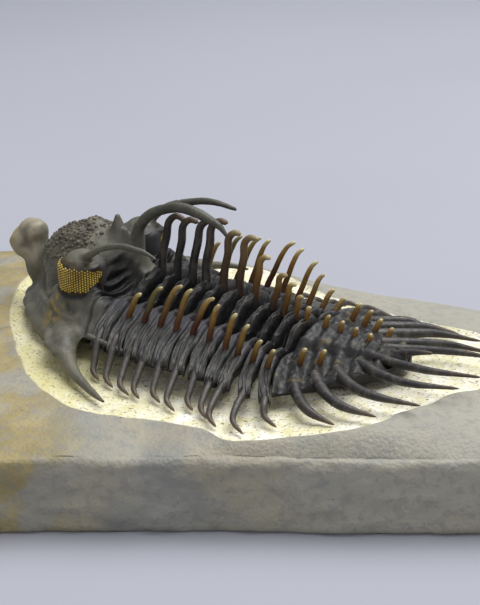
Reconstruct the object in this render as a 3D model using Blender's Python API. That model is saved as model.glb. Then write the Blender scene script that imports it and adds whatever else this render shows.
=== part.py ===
"""Comura trilobite lying on the limestone slab that it was prepared out of.

Lengths in the tables and functions below are in millimetres, in the fossil's own axes: X runs back
along its body from its first thoracic segment, Y is the distance from its midline (its left side is
-Y), and heights are measured from the floor of the trough around it. The origin of the finished part
is the middle of the slab's underside.
"""

import math

import bmesh
import bpy
import numpy as np
from mathutils import Matrix, Vector

MM = 0.001
GAP = 0.3                  # clear space between neighbouring pieces

# Slab
BASE = 9.0                 # thickness of stone below the trough floor
FOSSIL_OFFSET = (-6.76, 5.21)   # the first segment's place from the middle of the slab
SAW_ANGLE = 29.5           # degrees between the sawn near edge and the fossil's axis
LIP_HEIGHT = 0.5           # step up from the trough floor to the smooth stone
NEAR_EDGE_HEIGHT = -0.45
FAR_EDGE_HEIGHT = -3.0
TAIL_RISE = 1.8            # how far the floor climbs toward the tail
TAIL_RISE_START = 20.0
TAIL_RISE_LENGTH = 20.0
RING_POINTS = 60
SLAB_HUB = (9.0, 0.0)      # the rings of the slab are measured from here
# Slab outline, in axes turned by SAW_ANGLE so that the near edge is straight
SLAB_OUTLINE = ((-26, -31), (9, -31), (44, -31), (48, -24), (48, 5), (41, 11), (31, 16), (18, 22),
                (-3, 28.5), (-22, 34.5), (-30, 32), (-33, 20), (-32, -6), (-30, -28))
# Trough outline, along the fossil's own axes
TROUGH_OUTLINE = ((41, 1.0), (38.4, -3.4), (35.4, -9.2), (31.2, -15.0), (26.6, -17.7), (21.6, -20.5),
                  (16.6, -20.0), (10.8, -21.2), (4.5, -22.8), (-2, -21.2), (-10, -15.5), (-17.3, -7.9),
                  (-22.0, -1.2), (-24.4, 5.2), (-24, 12), (-16, 17.5), (-6, 21.3), (3, 22.4),
                  (8.5, 20.8), (13, 18.6), (20, 17.4), (29, 15.4), (36, 13.5), (41, 8))
MOUND_CENTRE = 14.0        # the low mound of stone under the thorax and tail
MOUND_HALF_LENGTH = 12.0
MOUND_HALF_WIDTH = 8.6
MOUND_HEIGHT = 2.6
MOUND_SLOPE = 0.055

# Thorax
SEGMENTS = 11
PITCH = 2.1                # spacing of the segments along the axis
SHORT_PITCH = 1.55         # the last ones are shorter
SHORT_FROM = 8
HALF_WIDTH = 14.0
STATIONS = 15
FULCRUM = 9.0              # where the side lobes turn down
FULCRUM_ADVANCE = 0.9      # how far forward the segments bow at the fulcrum
PLATE = 1.0                # thickness at the pleural edge
CREST = (7.9, 7.6, 7.5, 7.5, 7.5, 7.4, 7.1, 6.6, 6.1, 5.8, 5.5)
MEDIAN_SPINE = (7.1, 7.3, 7.7, 7.6, 6.8, 6.7, 5.0, 3.8, 3.4, 2.4, 1.6)
# Each upright spine's height and how far its tip leans back, on the near and the far side lobe
NEAR_UPRIGHT = ((0, 0), (3.5, 2.15), (4.95, 2.9), (5.7, 3.4), (5.5, 2.55), (5.15, 3.2), (4.8, 1.7),
                (4.7, 1.8), (4.2, 1.8), (3.0, 1.45), (2.5, 1.2))
FAR_UPRIGHT = ((0, 0), (4.1, 1.4), (5.8, 2.4), (6.2, 3.0), (6.1, 2.1), (6.5, 3.4), (6.2, 2.4),
               (5.4, 2.2), (4.3, 1.6), (2.6, 1.2), (1.7, 0.9))
NEAR_SPLAY = 0.4           # how far an upright spine's tip leans outward
FAR_SPLAY = 1.4
FAR_FULCRUM = 8.0          # the far upright spines stand nearer the axis
# How far each segment's far side lobe lies below the near one, and the least height it keeps
FAR_SAG = (1.0, 1.9, 2.3, 2.5, 2.5, 2.4, 2.4, 2.4, 2.1, 1.5, 0.8)
FAR_LOWEST = 1.5
EDGE_SWEEP = (0, 0, 0, 0, 0.1, 0.2, 0.4, 0.3, 0.2, 1.4, 2.4)
# How far the hanging spines reach back, and out past the pleural edge
HANG_BACK = (1.9, 2.2, 2.7, 2.0, 2.3, 2.5, 1.8, 2.0, 2.3, 2.8, 2.9)
HANG_REACH = (2.0, 2.8, 3.5, 3.6, 3.3, 4.2, 3.1, 3.9, 5.0, 4.9, 2.3)
FAR_TUCK = 0.6             # the other side's hanging spines reach out less

# Head
SHIELD_CENTRE = (-3.5, 0, 0.5)
SHIELD_RADII = (15.4, 12.4, 7.1)
SHIELD_TAPER = 0.34        # narrowing of the shield toward its front
HEAD_FLOOR = 0.5
HEAD_REAR = -1.2
RIM_RADIUS = 0.8
RIM_HEIGHT = 1.7
RIM_END = 70               # degrees round from the front where the rolled border stops
GLABELLA = ((-9.3, 0, 6.2), (7.3, 5.3, 5.9))
FRONT_KNOB = ((-19.5, 0.1, 8.1), (2.6, 2.5, 2.9))
NECK = ((-18.2, 0, 5.4), (2.1, 2.2, 3.2))
OCCIPITAL_KNOB = ((-5.8, -0.4, 11.4), (1.2, 1.2, 2.4))
EYE_CENTRE = (-7.3, 6.3)
EYE_RADIUS = 2.75          # at its top; the eye narrows downward
EYE_FOOT_RADIUS = 2.3
EYE_BOTTOM = 4.9
EYE_TOP = 9.8
EYE_LID = ((-6.5, 6.3, 9.6), (2.3, 2.3, 0.6))
FLAP = ((-6.6, 12.4, 2.5), (2.5, 1.8, 1.2))
# The cheek spines: a broad blade on the near side, a thin raised spine on the far one
NEAR_GENAL_SPINE = ((-5.6, 12.4, 2.6, 1.5), (-4.0, 14.3, 2.0, 1.25), (-2.2, 16.1, 1.4, 0.9),
                    (0.1, 17.7, 1.2, 0.57), (2.8, 19.2, 1.0, 0.4), (5.9, 20.8, 0.9, 0.12))
FAR_GENAL_SPINE = ((-5.4, 12.4, 2.6, 1.5), (-4.6, 15.0, 2.1, 1.0), (-3.6, 17.0, 1.7, 0.6),
                   (-2.0, 17.3, 1.9, 0.42), (0.4, 17.15, 2.2, 0.32), (2.6, 17.0, 2.3, 0.12))
NEAR_EYE_SPINE = ((-7.0, 6.2, 9.4, 0.6), (-5.9, 7.0, 10.5, 0.45), (-4.4, 7.9, 11.6, 0.42),
                  (-2.3, 8.5, 12.9, 0.37), (0.1, 8.5, 13.55, 0.34), (2.6, 8.5, 13.5, 0.3),
                  (4.9, 8.5, 12.8, 0.12))
FAR_EYE_SPINE = ((-7.0, 6.2, 9.3, 0.6), (-5.9, 7.3, 10.9, 0.55), (-4.0, 8.3, 12.7, 0.5),
                 (-1.5, 8.5, 13.4, 0.46), (1.0, 8.5, 14.0, 0.42), (3.2, 8.5, 14.0, 0.35),
                 (5.7, 8.5, 13.6, 0.12))
OCCIPITAL_SPINE = ((-3.1, 0, 7.6, 0.75), (-3.45, 0, 10.4, 0.6), (-3.3, -0.1, 12.7, 0.56),
                   (-1.7, -0.3, 14.7, 0.54), (0.8, -0.6, 15.9, 0.53), (3.3, -0.9, 16.6, 0.5),
                   (5.6, -1.2, 16.4, 0.45), (7.5, -1.5, 16.0, 0.4), (9.1, -1.7, 15.4, 0.32),
                   (10.1, -1.9, 14.4, 0.12))

# Tail
TAIL_LENGTH = 11.4
TAIL_HALF_WIDTH = 12.4
TAIL_CREST = 5.3
TAIL_MEDIAN = (1.5, 1.3, 1.0, 0.8)      # heights of the small median spines
TAIL_UPRIGHT = ((-0.62, 2.2), (-0.29, 2.1), (0.0, 1.7), (0.32, 1.4))   # place along the tail, height
TAIL_UPRIGHT_SHARE = 0.62  # and how far out on its width
TAIL_UPRIGHT_LEAN = 0.48   # how far their tips lean back, per height
# Spines below are given as points of x, distance from the axis, height and radius
TAIL_SPINES = (((22.8, 9.6, 2.2, 0.66), (26.6, 13.4, 1.7, 0.5), (29.5, 13.5, 1.1, 0.12)),
               ((24.4, 7.8, 2.5, 0.7), (29.4, 11.5, 2.3, 0.5), (33.4, 11.7, 2.2, 0.12)),
               ((26.0, 5.8, 2.7, 0.7), (32.0, 9.0, 3.0, 0.47), (37.1, 9.0, 3.2, 0.12)),
               ((27.8, 3.4, 3.0, 0.63), (34.4, 5.6, 3.6, 0.42), (39.7, 4.9, 4.0, 0.12)),
               ((29.0, 1.4, 3.3, 0.57), (36.0, 2.8, 4.2, 0.38), (41.2, 2.6, 4.7, 0.12)))
END_SPINE = ((29.6, 0.0, 3.7, 0.6), (32.8, 0.1, 4.5, 0.35), (34.6, 0.1, 4.8, 0.12))


def clear_scene():
    for item in list(bpy.data.objects):
        bpy.data.objects.remove(item, do_unlink=True)


def collection(name):
    made = bpy.data.collections.new(name)
    bpy.context.scene.collection.children.link(made)
    return made


def material(name, colour, roughness):
    made = bpy.data.materials.new(name)
    made.use_nodes = True
    shader = made.node_tree.nodes["Principled BSDF"]
    shader.inputs["Base Color"].default_value = (*colour, 1.0)
    shader.inputs["Roughness"].default_value = roughness
    shader.inputs["Metallic"].default_value = 0.0
    return made


def lifted(point):
    """A point in the fossil's axes, in millimetres, as metres from the middle of the slab's underside."""
    return Vector((point[0] + FOSSIL_OFFSET[0], point[1] + FOSSIL_OFFSET[1], point[2] + BASE)) * MM


def mesh_object(name, mesh, origin, where):
    """Put a mesh whose vertices are in world metres in an object with the given origin."""
    mesh.transform(Matrix.Translation(-origin))
    made = bpy.data.objects.new(name, mesh)
    made.location = origin
    where.objects.link(made)
    return made


def finish_bmesh(bm, name):
    bmesh.ops.recalc_face_normals(bm, faces=bm.faces)
    mesh = bpy.data.meshes.new(name)
    bm.to_mesh(mesh)
    bm.free()
    return mesh


def smooth_step(value):
    clamped = min(max(value, 0.0), 1.0)
    return clamped * clamped * (3.0 - 2.0 * clamped)


def closed_curve(outline, count):
    """Evenly spread points on a smooth closed curve through an outline."""
    knots = np.array(outline, dtype=float)
    total = len(knots)
    points = []
    for step in range(total * 8):
        index, t = divmod(step / 8.0, 1.0)
        p0, p1, p2, p3 = (knots[(int(index) + shift) % total] for shift in (-1, 0, 1, 2))
        bend = 2 * p0 - 5 * p1 + 4 * p2 - p3
        points.append(0.5 * (2 * p1 + (p2 - p0) * t + bend * t * t + (3 * p1 - p0 - 3 * p2 + p3) * t ** 3))
    return np.array(points)


def radius_by_angle(outline, centre, angles):
    """Distance from a centre to a closed outline in each direction."""
    offset = closed_curve(outline, 8) - np.array(centre)
    bearing = np.arctan2(offset[:, 1], offset[:, 0])
    order = np.argsort(bearing)
    return np.interp(angles, bearing[order], np.hypot(offset[order, 0], offset[order, 1]), period=2 * math.pi)


def sawn(point):
    """Turn a slab outline point into the fossil's axes."""
    angle = math.radians(SAW_ANGLE)
    return (point[0] * math.cos(angle) - point[1] * math.sin(angle),
            point[0] * math.sin(angle) + point[1] * math.cos(angle))


def floor_height(x):
    return TAIL_RISE * smooth_step((x - TAIL_RISE_START) / TAIL_RISE_LENGTH)


def mound_height(x):
    return MOUND_HEIGHT - MOUND_SLOPE * (x + 1.0)


def evaluated_mesh(item):
    bpy.context.view_layer.update()
    graph = bpy.context.evaluated_depsgraph_get()
    return bpy.data.meshes.new_from_object(item.evaluated_get(graph))


def tube(name, points, where):
    """A tapering spine through points given as x, y, height and radius."""
    curve = bpy.data.curves.new(name, "CURVE")
    curve.dimensions = "3D"
    curve.bevel_depth = MM
    curve.bevel_resolution = 1
    curve.use_fill_caps = True
    spline = curve.splines.new("POLY")
    spline.points.add(len(points) - 1)
    for knot, (x, y, z, radius) in zip(spline.points, points):
        knot.co = (*lifted((x, y, z)), 1.0)
        knot.radius = radius
    source = bpy.data.objects.new(name, curve)
    where.objects.link(source)
    mesh = evaluated_mesh(source)
    bpy.data.objects.remove(source, do_unlink=True)
    bm = bmesh.new()
    bm.from_mesh(mesh)
    bmesh.ops.remove_doubles(bm, verts=bm.verts, dist=0.000001)
    made = bpy.data.objects.new(name, finish_bmesh(bm, name))
    where.objects.link(made)
    return made


def ball(name, centre, radii, where, around=12, rings=8):
    bm = bmesh.new()
    bmesh.ops.create_uvsphere(bm, u_segments=around, v_segments=rings, radius=1.0)
    for vert in bm.verts:
        vert.co = lifted([centre[axis] + radii[axis] * vert.co[axis] for axis in range(3)])
    made = bpy.data.objects.new(name, finish_bmesh(bm, name))
    where.objects.link(made)
    return made


def arch(name, cells, top, bottom, where):
    """A closed body between two height fields over the same grid; both map u, s in -1 to 1 to a point."""
    bm = bmesh.new()
    bmesh.ops.create_grid(bm, x_segments=cells[0], y_segments=cells[1], size=1.0)
    places = {vert: (vert.co.x, vert.co.y) for vert in bm.verts}
    lower = bmesh.ops.extrude_face_region(bm, geom=bm.faces[:])["geom"]
    dropped = [item for item in lower if isinstance(item, bmesh.types.BMVert)]
    for vert in dropped:
        vert.co = lifted(bottom(vert.co.x, vert.co.y))
    for vert, (u, s) in places.items():
        vert.co = lifted(top(u, s))
    made = bpy.data.objects.new(name, finish_bmesh(bm, name))
    where.objects.link(made)
    return made


def fused(name, pieces, origin, where, cutter=None):
    """Cut the first piece if asked, join the others to it and make one named object of them."""
    body = pieces[0]
    if cutter is not None:
        trim = body.modifiers.new("Trim", "BOOLEAN")
        trim.operation = "DIFFERENCE"
        trim.object = cutter
    for other in pieces[1:]:
        join = body.modifiers.new("Join", "BOOLEAN")
        join.operation = "UNION"
        join.object = other
    mesh = evaluated_mesh(body)
    mesh.transform(body.matrix_world)
    for piece in pieces:
        bpy.data.objects.remove(piece, do_unlink=True)
    bm = bmesh.new()
    bm.from_mesh(mesh)
    bmesh.ops.remove_doubles(bm, verts=bm.verts, dist=0.000002)
    bmesh.ops.dissolve_degenerate(bm, edges=bm.edges, dist=0.000002)
    bmesh.ops.triangulate(bm, faces=bm.faces)
    mesh = finish_bmesh(bm, name)
    mesh.shade_smooth()
    mesh.set_sharp_from_angle(angle=math.radians(40))
    return mesh_object(name, mesh, lifted(origin), where)


def edge_height(x, y):
    """The smooth stone's height at the slab's edge: highest along the sawn side."""
    angle = math.radians(SAW_ANGLE)
    away = -x * math.sin(angle) + y * math.cos(angle)
    share = smooth_step((away - SLAB_OUTLINE[0][1]) / (SLAB_OUTLINE[9][1] - SLAB_OUTLINE[0][1]))
    return NEAR_EDGE_HEIGHT + (FAR_EDGE_HEIGHT - NEAR_EDGE_HEIGHT) * share


def between_height(x, y):
    """The smooth stone's height halfway from the trough to the slab's edge."""
    return 0.6 * (floor_height(x) + LIP_HEIGHT) + 0.4 * edge_height(x, y)


def ring_loop(bm, radii, angles, height):
    loop = []
    for radius, angle in zip(radii, angles):
        x = SLAB_HUB[0] + radius * math.cos(angle)
        y = SLAB_HUB[1] + radius * math.sin(angle)
        loop.append(bm.verts.new(lifted((x, y, height(x, y)))))
    return loop


def mound_outline():
    """A long rounded oblong round the mound's flat top."""
    points = []
    for step in range(20):
        t = 2 * math.pi * step / 20
        points.append((MOUND_CENTRE + MOUND_HALF_LENGTH * math.copysign(abs(math.cos(t)) ** 0.7, math.cos(t)),
                       MOUND_HALF_WIDTH * math.copysign(abs(math.sin(t)) ** 0.7, math.sin(t))))
    return points


def build_matrix(where):
    """The slab as a loft of closed rings, from the top of the mound outward and down to the underside."""
    spread = [2 * math.pi * step / RING_POINTS for step in range(RING_POINTS)]
    angles = [math.atan2(0.75 * math.sin(t), math.cos(t)) for t in spread]
    trough = radius_by_angle(TROUGH_OUTLINE, SLAB_HUB, angles)
    edge = radius_by_angle([sawn(point) for point in SLAB_OUTLINE], SLAB_HUB, angles)
    mound = radius_by_angle(mound_outline(), SLAB_HUB, angles)
    rings = ((mound, lambda x, y: mound_height(x)),
             (mound * 1.12, lambda x, y: 0.5 * mound_height(x)),
             (mound * 1.25, lambda x, y: floor_height(x)),
             (0.5 * (mound * 1.25 + trough), lambda x, y: floor_height(x)),
             (trough - 0.8, lambda x, y: floor_height(x)),
             (trough + 0.2, lambda x, y: floor_height(x) + LIP_HEIGHT),
             (0.5 * (trough + edge), between_height),
             (edge - 1.0, edge_height),
             (edge, lambda x, y: edge_height(x, y) - 1.0),
             (edge, lambda x, y: -BASE))
    bm = bmesh.new()
    loops = [ring_loop(bm, radii, angles, height) for radii, height in rings]
    for inner, outer in zip(loops, loops[1:]):
        for step in range(RING_POINTS):
            after = (step + 1) % RING_POINTS
            bm.faces.new((inner[step], inner[after], outer[after], outer[step]))
    bm.faces.new(loops[0])
    bm.faces.new(reversed(loops[-1]))
    mesh = finish_bmesh(bm, "matrix")
    mesh.shade_smooth()
    mesh.set_sharp_from_angle(angle=math.radians(40))
    return mesh_object("matrix", mesh, lifted((MOUND_CENTRE, 0, -BASE)), where)


def sway(w):
    """How far forward a segment bows, at a distance from the axis."""
    if abs(w) < FULCRUM:
        return -FULCRUM_ADVANCE * (1 - ((abs(w) - FULCRUM) / FULCRUM) ** 2)
    return -FULCRUM_ADVANCE * (1 - ((abs(w) - FULCRUM) / (HALF_WIDTH - FULCRUM)) ** 2)


def segment_x(number):
    """Where a thoracic segment's middle lies on the axis."""
    return PITCH * (min(number, SHORT_FROM) - 1) + SHORT_PITCH * max(0, number - SHORT_FROM)


def half_length(number):
    return 0.5 * ((PITCH if number < SHORT_FROM else SHORT_PITCH) - GAP)


def rear_sweep(w, sweep):
    return sweep * max(0.0, (abs(w) - 5.0) / (HALF_WIDTH - 5.0)) ** 1.5


def body_profile(w, number):
    """Height of a segment's upper surface across the body; w is positive on the far side."""
    crest = CREST[number - 1]
    lowering = (crest - CREST[-1]) / (CREST[1] - CREST[-1])
    fulcrum = 3.2 + 2.1 * lowering
    edge = 2.5 + 0.8 * lowering
    axis = 3.5 + 0.9 * lowering
    distances = (0, 0.55 * axis, 0.85 * axis, axis + 0.2, 6.4, FULCRUM, 12.0, HALF_WIDTH)
    furrow = 0.5 * (crest + fulcrum) - 0.7
    heights = (crest, crest - 0.5, crest - 1.2, furrow, furrow + 0.15,
               fulcrum, 0.55 * fulcrum + 0.45 * edge, edge)
    height = float(np.interp(abs(w), distances, heights))
    return max(height - FAR_SAG[number - 1] * smooth_step((w - 3.0) / 10.0), FAR_LOWEST)


def mirrored(points, side):
    return [(x, side * y, z, radius) for x, y, z, radius in points]


def segment_point(number, w, across, lift):
    """A point on a thoracic segment's upper surface; across is -1 at its front and 1 at its rear."""
    x = segment_x(number) + sway(w) + rear_sweep(w, EDGE_SWEEP[number - 1]) + across * half_length(number)
    return (x, w, body_profile(w, number) + lift)


def segment_body(number, where):
    def top(u, s):
        w = s * HALF_WIDTH
        ridge = 0.0
        if abs(u) < 0.5:
            ridge = 0.25 if abs(w) < 4.0 else -0.25
        return segment_point(number, w, u, ridge)

    def bottom(u, s):
        x, w, surface = segment_point(number, s * HALF_WIDTH, u, 0.0)
        resting = mound_height(x) + 1.2 * GAP
        share = smooth_step((abs(w) - MOUND_HALF_WIDTH - 1.0) / 3.0)
        return (x, w, min(resting * (1 - share) + (surface - PLATE) * share, surface - 0.6))

    return arch("body", (2, STATIONS - 1), top, bottom, where)


def median_spine(number, where):
    """A spine on the axis that rises straight and curls back at its tip."""
    x, _, z = segment_point(number, 0.0, 0.0, 0.0)
    height = MEDIAN_SPINE[number - 1]
    thick = 0.24 + 0.03 * height
    curl = 0.42 * height if number < 5 else 0.36 * height
    points = [(x, 0, z - 0.9, thick * 1.2), (x + 0.04 * height, 0, z + 0.35 * height, thick),
              (x + 0.2 * curl, 0, z + 0.7 * height, 0.85 * thick),
              (x + 0.5 * curl, 0, z + 0.92 * height, 0.65 * thick), (x + curl, 0, z + height, 0.12)]
    return tube("median_spine", points, where)


def upright_spine(base, height, back, splay, where):
    """A slender spine on a side lobe, leaning back and outward."""
    x, w, z = base
    points = [(x, w, z - 0.6, 0.4), (x + 0.28 * back, w + 0.25 * splay, z + 0.36 * height, 0.36),
              (x + 0.62 * back, w + 0.65 * splay, z + 0.8 * height, 0.3),
              (x + back, w + splay, z + height, 0.14)]
    return tube("upright_spine", points, where)


def hanging_spine(number, side, where):
    """The spine that a segment's end carries, hanging to the floor and hooked back."""
    x, _, z = segment_point(number, side * (HALF_WIDTH - 0.4), 0.0, 0.0)
    reach = HANG_REACH[number - 1] * (1.0 if side < 0 else FAR_TUCK)
    back = HANG_BACK[number - 1]
    out = HALF_WIDTH - 0.5
    ground = floor_height(x + back)
    points = [(x, side * (out - 0.4), max(z - 0.5, ground + 0.95), 0.56),
              (x + 0.15 * back, side * (out - 0.1 + 0.45 * reach), min(ground + 2.1, z), 0.47),
              (x + 0.4 * back, side * (out + 0.1 + 0.88 * reach), min(ground + 1.0, 0.75 * z), 0.37),
              (x + back, side * (out + reach + 0.4), ground + 0.45, 0.14)]
    return tube("hanging_spine", points, where)


def build_segment(number, where):
    pieces = [segment_body(number, where)]
    pieces.append(median_spine(number, where))
    for side in (-1, 1):
        pieces.append(hanging_spine(number, side, where))
    for w, spines, splay in ((-FULCRUM, NEAR_UPRIGHT, -NEAR_SPLAY), (FAR_FULCRUM, FAR_UPRIGHT, FAR_SPLAY)):
        height, back = spines[number - 1]
        if height > 0:
            pieces.append(upright_spine(segment_point(number, w, 0.0, 0.0), height, back, splay, where))
    x = segment_x(number)
    return fused(f"thorax_segment_{number:02d}", pieces, (x, 0, mound_height(x)), where)


def rear_cutter(where):
    """A block behind the head whose front face follows the bow of the first segment."""
    def top(u, s):
        w = s * HALF_WIDTH * 1.3
        return (HEAD_REAR + sway(min(abs(w), HALF_WIDTH)) if u < 0 else 30.0, w, 30.0)

    def bottom(u, s):
        w = s * HALF_WIDTH * 1.3
        return (HEAD_REAR + sway(min(abs(w), HALF_WIDTH)) if u < 0 else 30.0, w, -5.0)

    cutter = arch("head_rear_cutter", (1, 20), top, bottom, where)
    cutter.hide_render = True
    cutter.display_type = "WIRE"
    return cutter


def head_shield(where):
    """The domed cheeks: an ellipsoid narrowed toward the front and flat underneath."""
    bm = bmesh.new()
    bmesh.ops.create_uvsphere(bm, u_segments=28, v_segments=14, radius=1.0)
    for vert in bm.verts:
        x = SHIELD_CENTRE[0] + SHIELD_RADII[0] * vert.co.x
        forward = max(0.0, -vert.co.x)
        y = SHIELD_RADII[1] * vert.co.y * (1 - SHIELD_TAPER * forward ** 2)
        z = max(HEAD_FLOOR, SHIELD_CENTRE[2] + SHIELD_RADII[2] * vert.co.z)
        vert.co = lifted((x, y, z))
    bmesh.ops.remove_doubles(bm, verts=bm.verts, dist=0.00001)
    bmesh.ops.bisect_plane(bm, geom=bm.verts[:] + bm.edges[:] + bm.faces[:], plane_no=(0, 0, 1),
                           plane_co=lifted((0, 0, HEAD_FLOOR + 0.01)), clear_inner=True)
    bmesh.ops.holes_fill(bm, edges=[edge for edge in bm.edges if edge.is_boundary], sides=0)
    made = bpy.data.objects.new("shield", finish_bmesh(bm, "shield"))
    where.objects.link(made)
    return made


def rim_point(angle):
    """A point on the head's rolled border; the angle is 0 at the front and 90 degrees at the side."""
    forward = math.cos(angle)
    x = SHIELD_CENTRE[0] - (SHIELD_RADII[0] - 0.6 * RIM_RADIUS) * forward
    y = (SHIELD_RADII[1] - 0.6 * RIM_RADIUS) * math.sin(angle) * (1 - SHIELD_TAPER * forward ** 2)
    return (x, y, RIM_HEIGHT, RIM_RADIUS * 0.98)


def build_cephalon(where, cutters):
    cutter = rear_cutter(cutters)
    rim = [rim_point(math.radians(angle)) for angle in range(-RIM_END, RIM_END + 1, 14)]
    glabella = ball("glabella", *GLABELLA, where, 16, 10)
    dome = fused("dome", [head_shield(where), glabella], (0, 0, 0), where)
    pieces = [dome, tube("rim", rim, where)]
    pieces.append(ball("knob", *FRONT_KNOB, where))
    pieces.append(ball("neck", *NECK, where, 8, 6))
    pieces.append(ball("occipital_knob", *OCCIPITAL_KNOB, where, 6, 6))
    for side in (-1, 1):
        pieces.append(eye(side, where))
        (x, y, z), radii = EYE_LID
        pieces.append(ball("eye_lid", (x, side * y, z), radii, where, 10, 6))
        (x, y, z), radii = FLAP
        pieces.append(ball("flap", (x, side * y, z), radii, where, 10, 6))
        genal = NEAR_GENAL_SPINE if side < 0 else FAR_GENAL_SPINE
        eye_spine = NEAR_EYE_SPINE if side < 0 else FAR_EYE_SPINE
        pieces.append(tube("genal_spine", mirrored(genal, side), where))
        pieces.append(tube("eye_spine", mirrored(eye_spine, side), where))
    pieces.append(tube("occipital_spine", OCCIPITAL_SPINE, where))
    return fused("cephalon", pieces, (-9.0, 0, HEAD_FLOOR), where, cutter)


def eye(side, where):
    """The upright many-lensed face of an eye, as a cone that narrows downward."""
    bm = bmesh.new()
    bmesh.ops.create_cone(bm, cap_ends=True, segments=16, radius1=EYE_FOOT_RADIUS, radius2=EYE_RADIUS,
                          depth=EYE_TOP - EYE_BOTTOM)
    for vert in bm.verts:
        vert.co = lifted((EYE_CENTRE[0] + vert.co.x, side * EYE_CENTRE[1] + vert.co.y,
                          0.5 * (EYE_TOP + EYE_BOTTOM) + vert.co.z))
    made = bpy.data.objects.new("eye", finish_bmesh(bm, "eye"))
    where.objects.link(made)
    return made


def tail_front():
    return segment_x(SEGMENTS) + half_length(SEGMENTS) + GAP


def tail_point(u, s, lift):
    """A point on the tail shield's upper surface; u runs from its front to its rear."""
    share = 0.5 * (u + 1)
    w = s * (TAIL_HALF_WIDTH * (1 - share) ** 0.8 + 1.6 * share)
    bow = (sway(w) + rear_sweep(w, EDGE_SWEEP[-1])) * (1 - share)
    x = tail_front() + TAIL_LENGTH * share + bow
    crest = TAIL_CREST - 0.9 * share
    distances = (0, 0.22, 0.32, 0.6, 1.0)
    heights = (crest, crest - 0.7, crest - 1.5 + 0.5 * share, crest - 1.9 + 0.8 * share, 2.4 + 1.1 * share)
    return (x, w, float(np.interp(abs(s), distances, heights)) + lift)


def build_pygidium(where):
    def top(u, s):
        return tail_point(u, s, 0.0)

    def bottom(u, s):
        x, w, surface = tail_point(u, s, 0.0)
        resting = mound_height(x) + 1.2 * GAP
        return (x, w, min(max(resting, surface - 1.3 if abs(w) > 6 else resting), surface - 0.6))

    pieces = [arch("body", (6, 12), top, bottom, where)]
    for index, height in enumerate(TAIL_MEDIAN):
        x, _, z = tail_point(-0.75 + 0.32 * index, 0, 0)
        points = [(x, 0, z - 0.5, 0.35), (x + 0.15 * height, 0, z + 0.6 * height, 0.27),
                  (x + 0.4 * height, 0, z + height, 0.12)]
        pieces.append(tube("median_spine", points, where))
    for side in (-1, 1):
        for u, height in TAIL_UPRIGHT[:2] if side < 0 else TAIL_UPRIGHT:
            base = tail_point(u, side * TAIL_UPRIGHT_SHARE, 0.0)
            pieces.append(upright_spine(base, height, TAIL_UPRIGHT_LEAN * height, side * NEAR_SPLAY, where))
        for points in TAIL_SPINES:
            pieces.append(tube("marginal_spine", mirrored(points, side), where))
    pieces.append(tube("end_spine", END_SPINE, where))
    return fused("pygidium", pieces, (tail_front(), 0, mound_height(tail_front())), where)


def main():
    clear_scene()
    parts = collection("comura_trilobite")
    cutters = collection("cutters")
    stone = material("limestone", (0.52, 0.48, 0.38), 0.85)
    shell = material("fossil_shell", (0.09, 0.085, 0.07), 0.5)
    build_matrix(parts).data.materials.append(stone)
    build_cephalon(parts, cutters).data.materials.append(shell)
    for number in range(1, SEGMENTS + 1):
        build_segment(number, parts).data.materials.append(shell)
    build_pygidium(parts).data.materials.append(shell)
    for item in parts.objects:
        triangles = sum(len(face.vertices) - 2 for face in item.data.polygons)
        print(item.name, triangles, "triangles")


main()
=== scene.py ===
# %% [markdown]
# # A Comura trilobite on its stone
# The real object is a fossil, about five and a half centimetres long, that a preparator freed from
# limestone grain by grain. Its shell turned to dark calcite, its finer spines to amber calcite, and the
# stone around it is pale where the air-abrasive tool worked.
# The CAD frame gives the solids: one slab, one head shield, eleven thorax segments and one tail shield.
# This notebook gives each of them its visible surface. Lengths are in millimetres along the fossil's own
# axes (x runs from the first thorax segment to the tail, y away from the midline, z up from the trough
# floor), and one helper turns them into metres in the frame.

# %% Load the frame
import math

import bmesh
import bpy
import numpy as np
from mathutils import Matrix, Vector


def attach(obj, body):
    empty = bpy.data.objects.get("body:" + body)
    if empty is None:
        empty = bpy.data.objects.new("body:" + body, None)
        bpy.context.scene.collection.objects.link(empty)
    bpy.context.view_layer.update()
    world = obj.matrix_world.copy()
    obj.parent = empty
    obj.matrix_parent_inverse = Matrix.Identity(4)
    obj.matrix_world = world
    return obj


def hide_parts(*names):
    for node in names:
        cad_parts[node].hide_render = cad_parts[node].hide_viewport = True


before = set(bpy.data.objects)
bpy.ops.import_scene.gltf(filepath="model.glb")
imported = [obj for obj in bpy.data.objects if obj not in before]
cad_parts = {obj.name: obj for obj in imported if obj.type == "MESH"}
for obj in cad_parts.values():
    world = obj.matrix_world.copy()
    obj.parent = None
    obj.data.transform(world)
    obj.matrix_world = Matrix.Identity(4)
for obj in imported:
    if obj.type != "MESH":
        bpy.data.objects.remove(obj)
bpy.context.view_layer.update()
print("nodes in the frame:", len(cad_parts))

# %% Millimetres of the fossil to metres of the frame
MM = 0.001
FOSSIL_ORIGIN = np.array((-6.76, 5.21, 9.0))


def in_frame(points):
    return (np.asarray(points, dtype=float) + FOSSIL_ORIGIN) * MM


print("first thorax segment stands at", in_frame((0, 0, 0)).round(4))

# %% [markdown]
# ## Camera, floor and light
# The picture was taken from 29.5 degrees round and 23.3 degrees up, close enough that the near side is
# clearly larger. A long lens at 161 mm from the fossil gives the same perspective. The floor is a plain
# pale sheet, and the light is one large soft panel overhead with a weaker one in front, because the real
# light leaves no hard shadows.

# %% Camera
TURN = math.radians(29.5)
RISE = math.radians(23.3)
DISTANCE = 161.0
LOOK_AT = np.array((8.1, 4.6, 3.5))
PIXELS_PER_MM = 8.31
PICTURE_WIDTH = 480.0
SENSOR_WIDTH = 36.0
toward_camera = np.array((math.sin(TURN) * math.cos(RISE), -math.cos(TURN) * math.cos(RISE), math.sin(RISE)))

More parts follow.
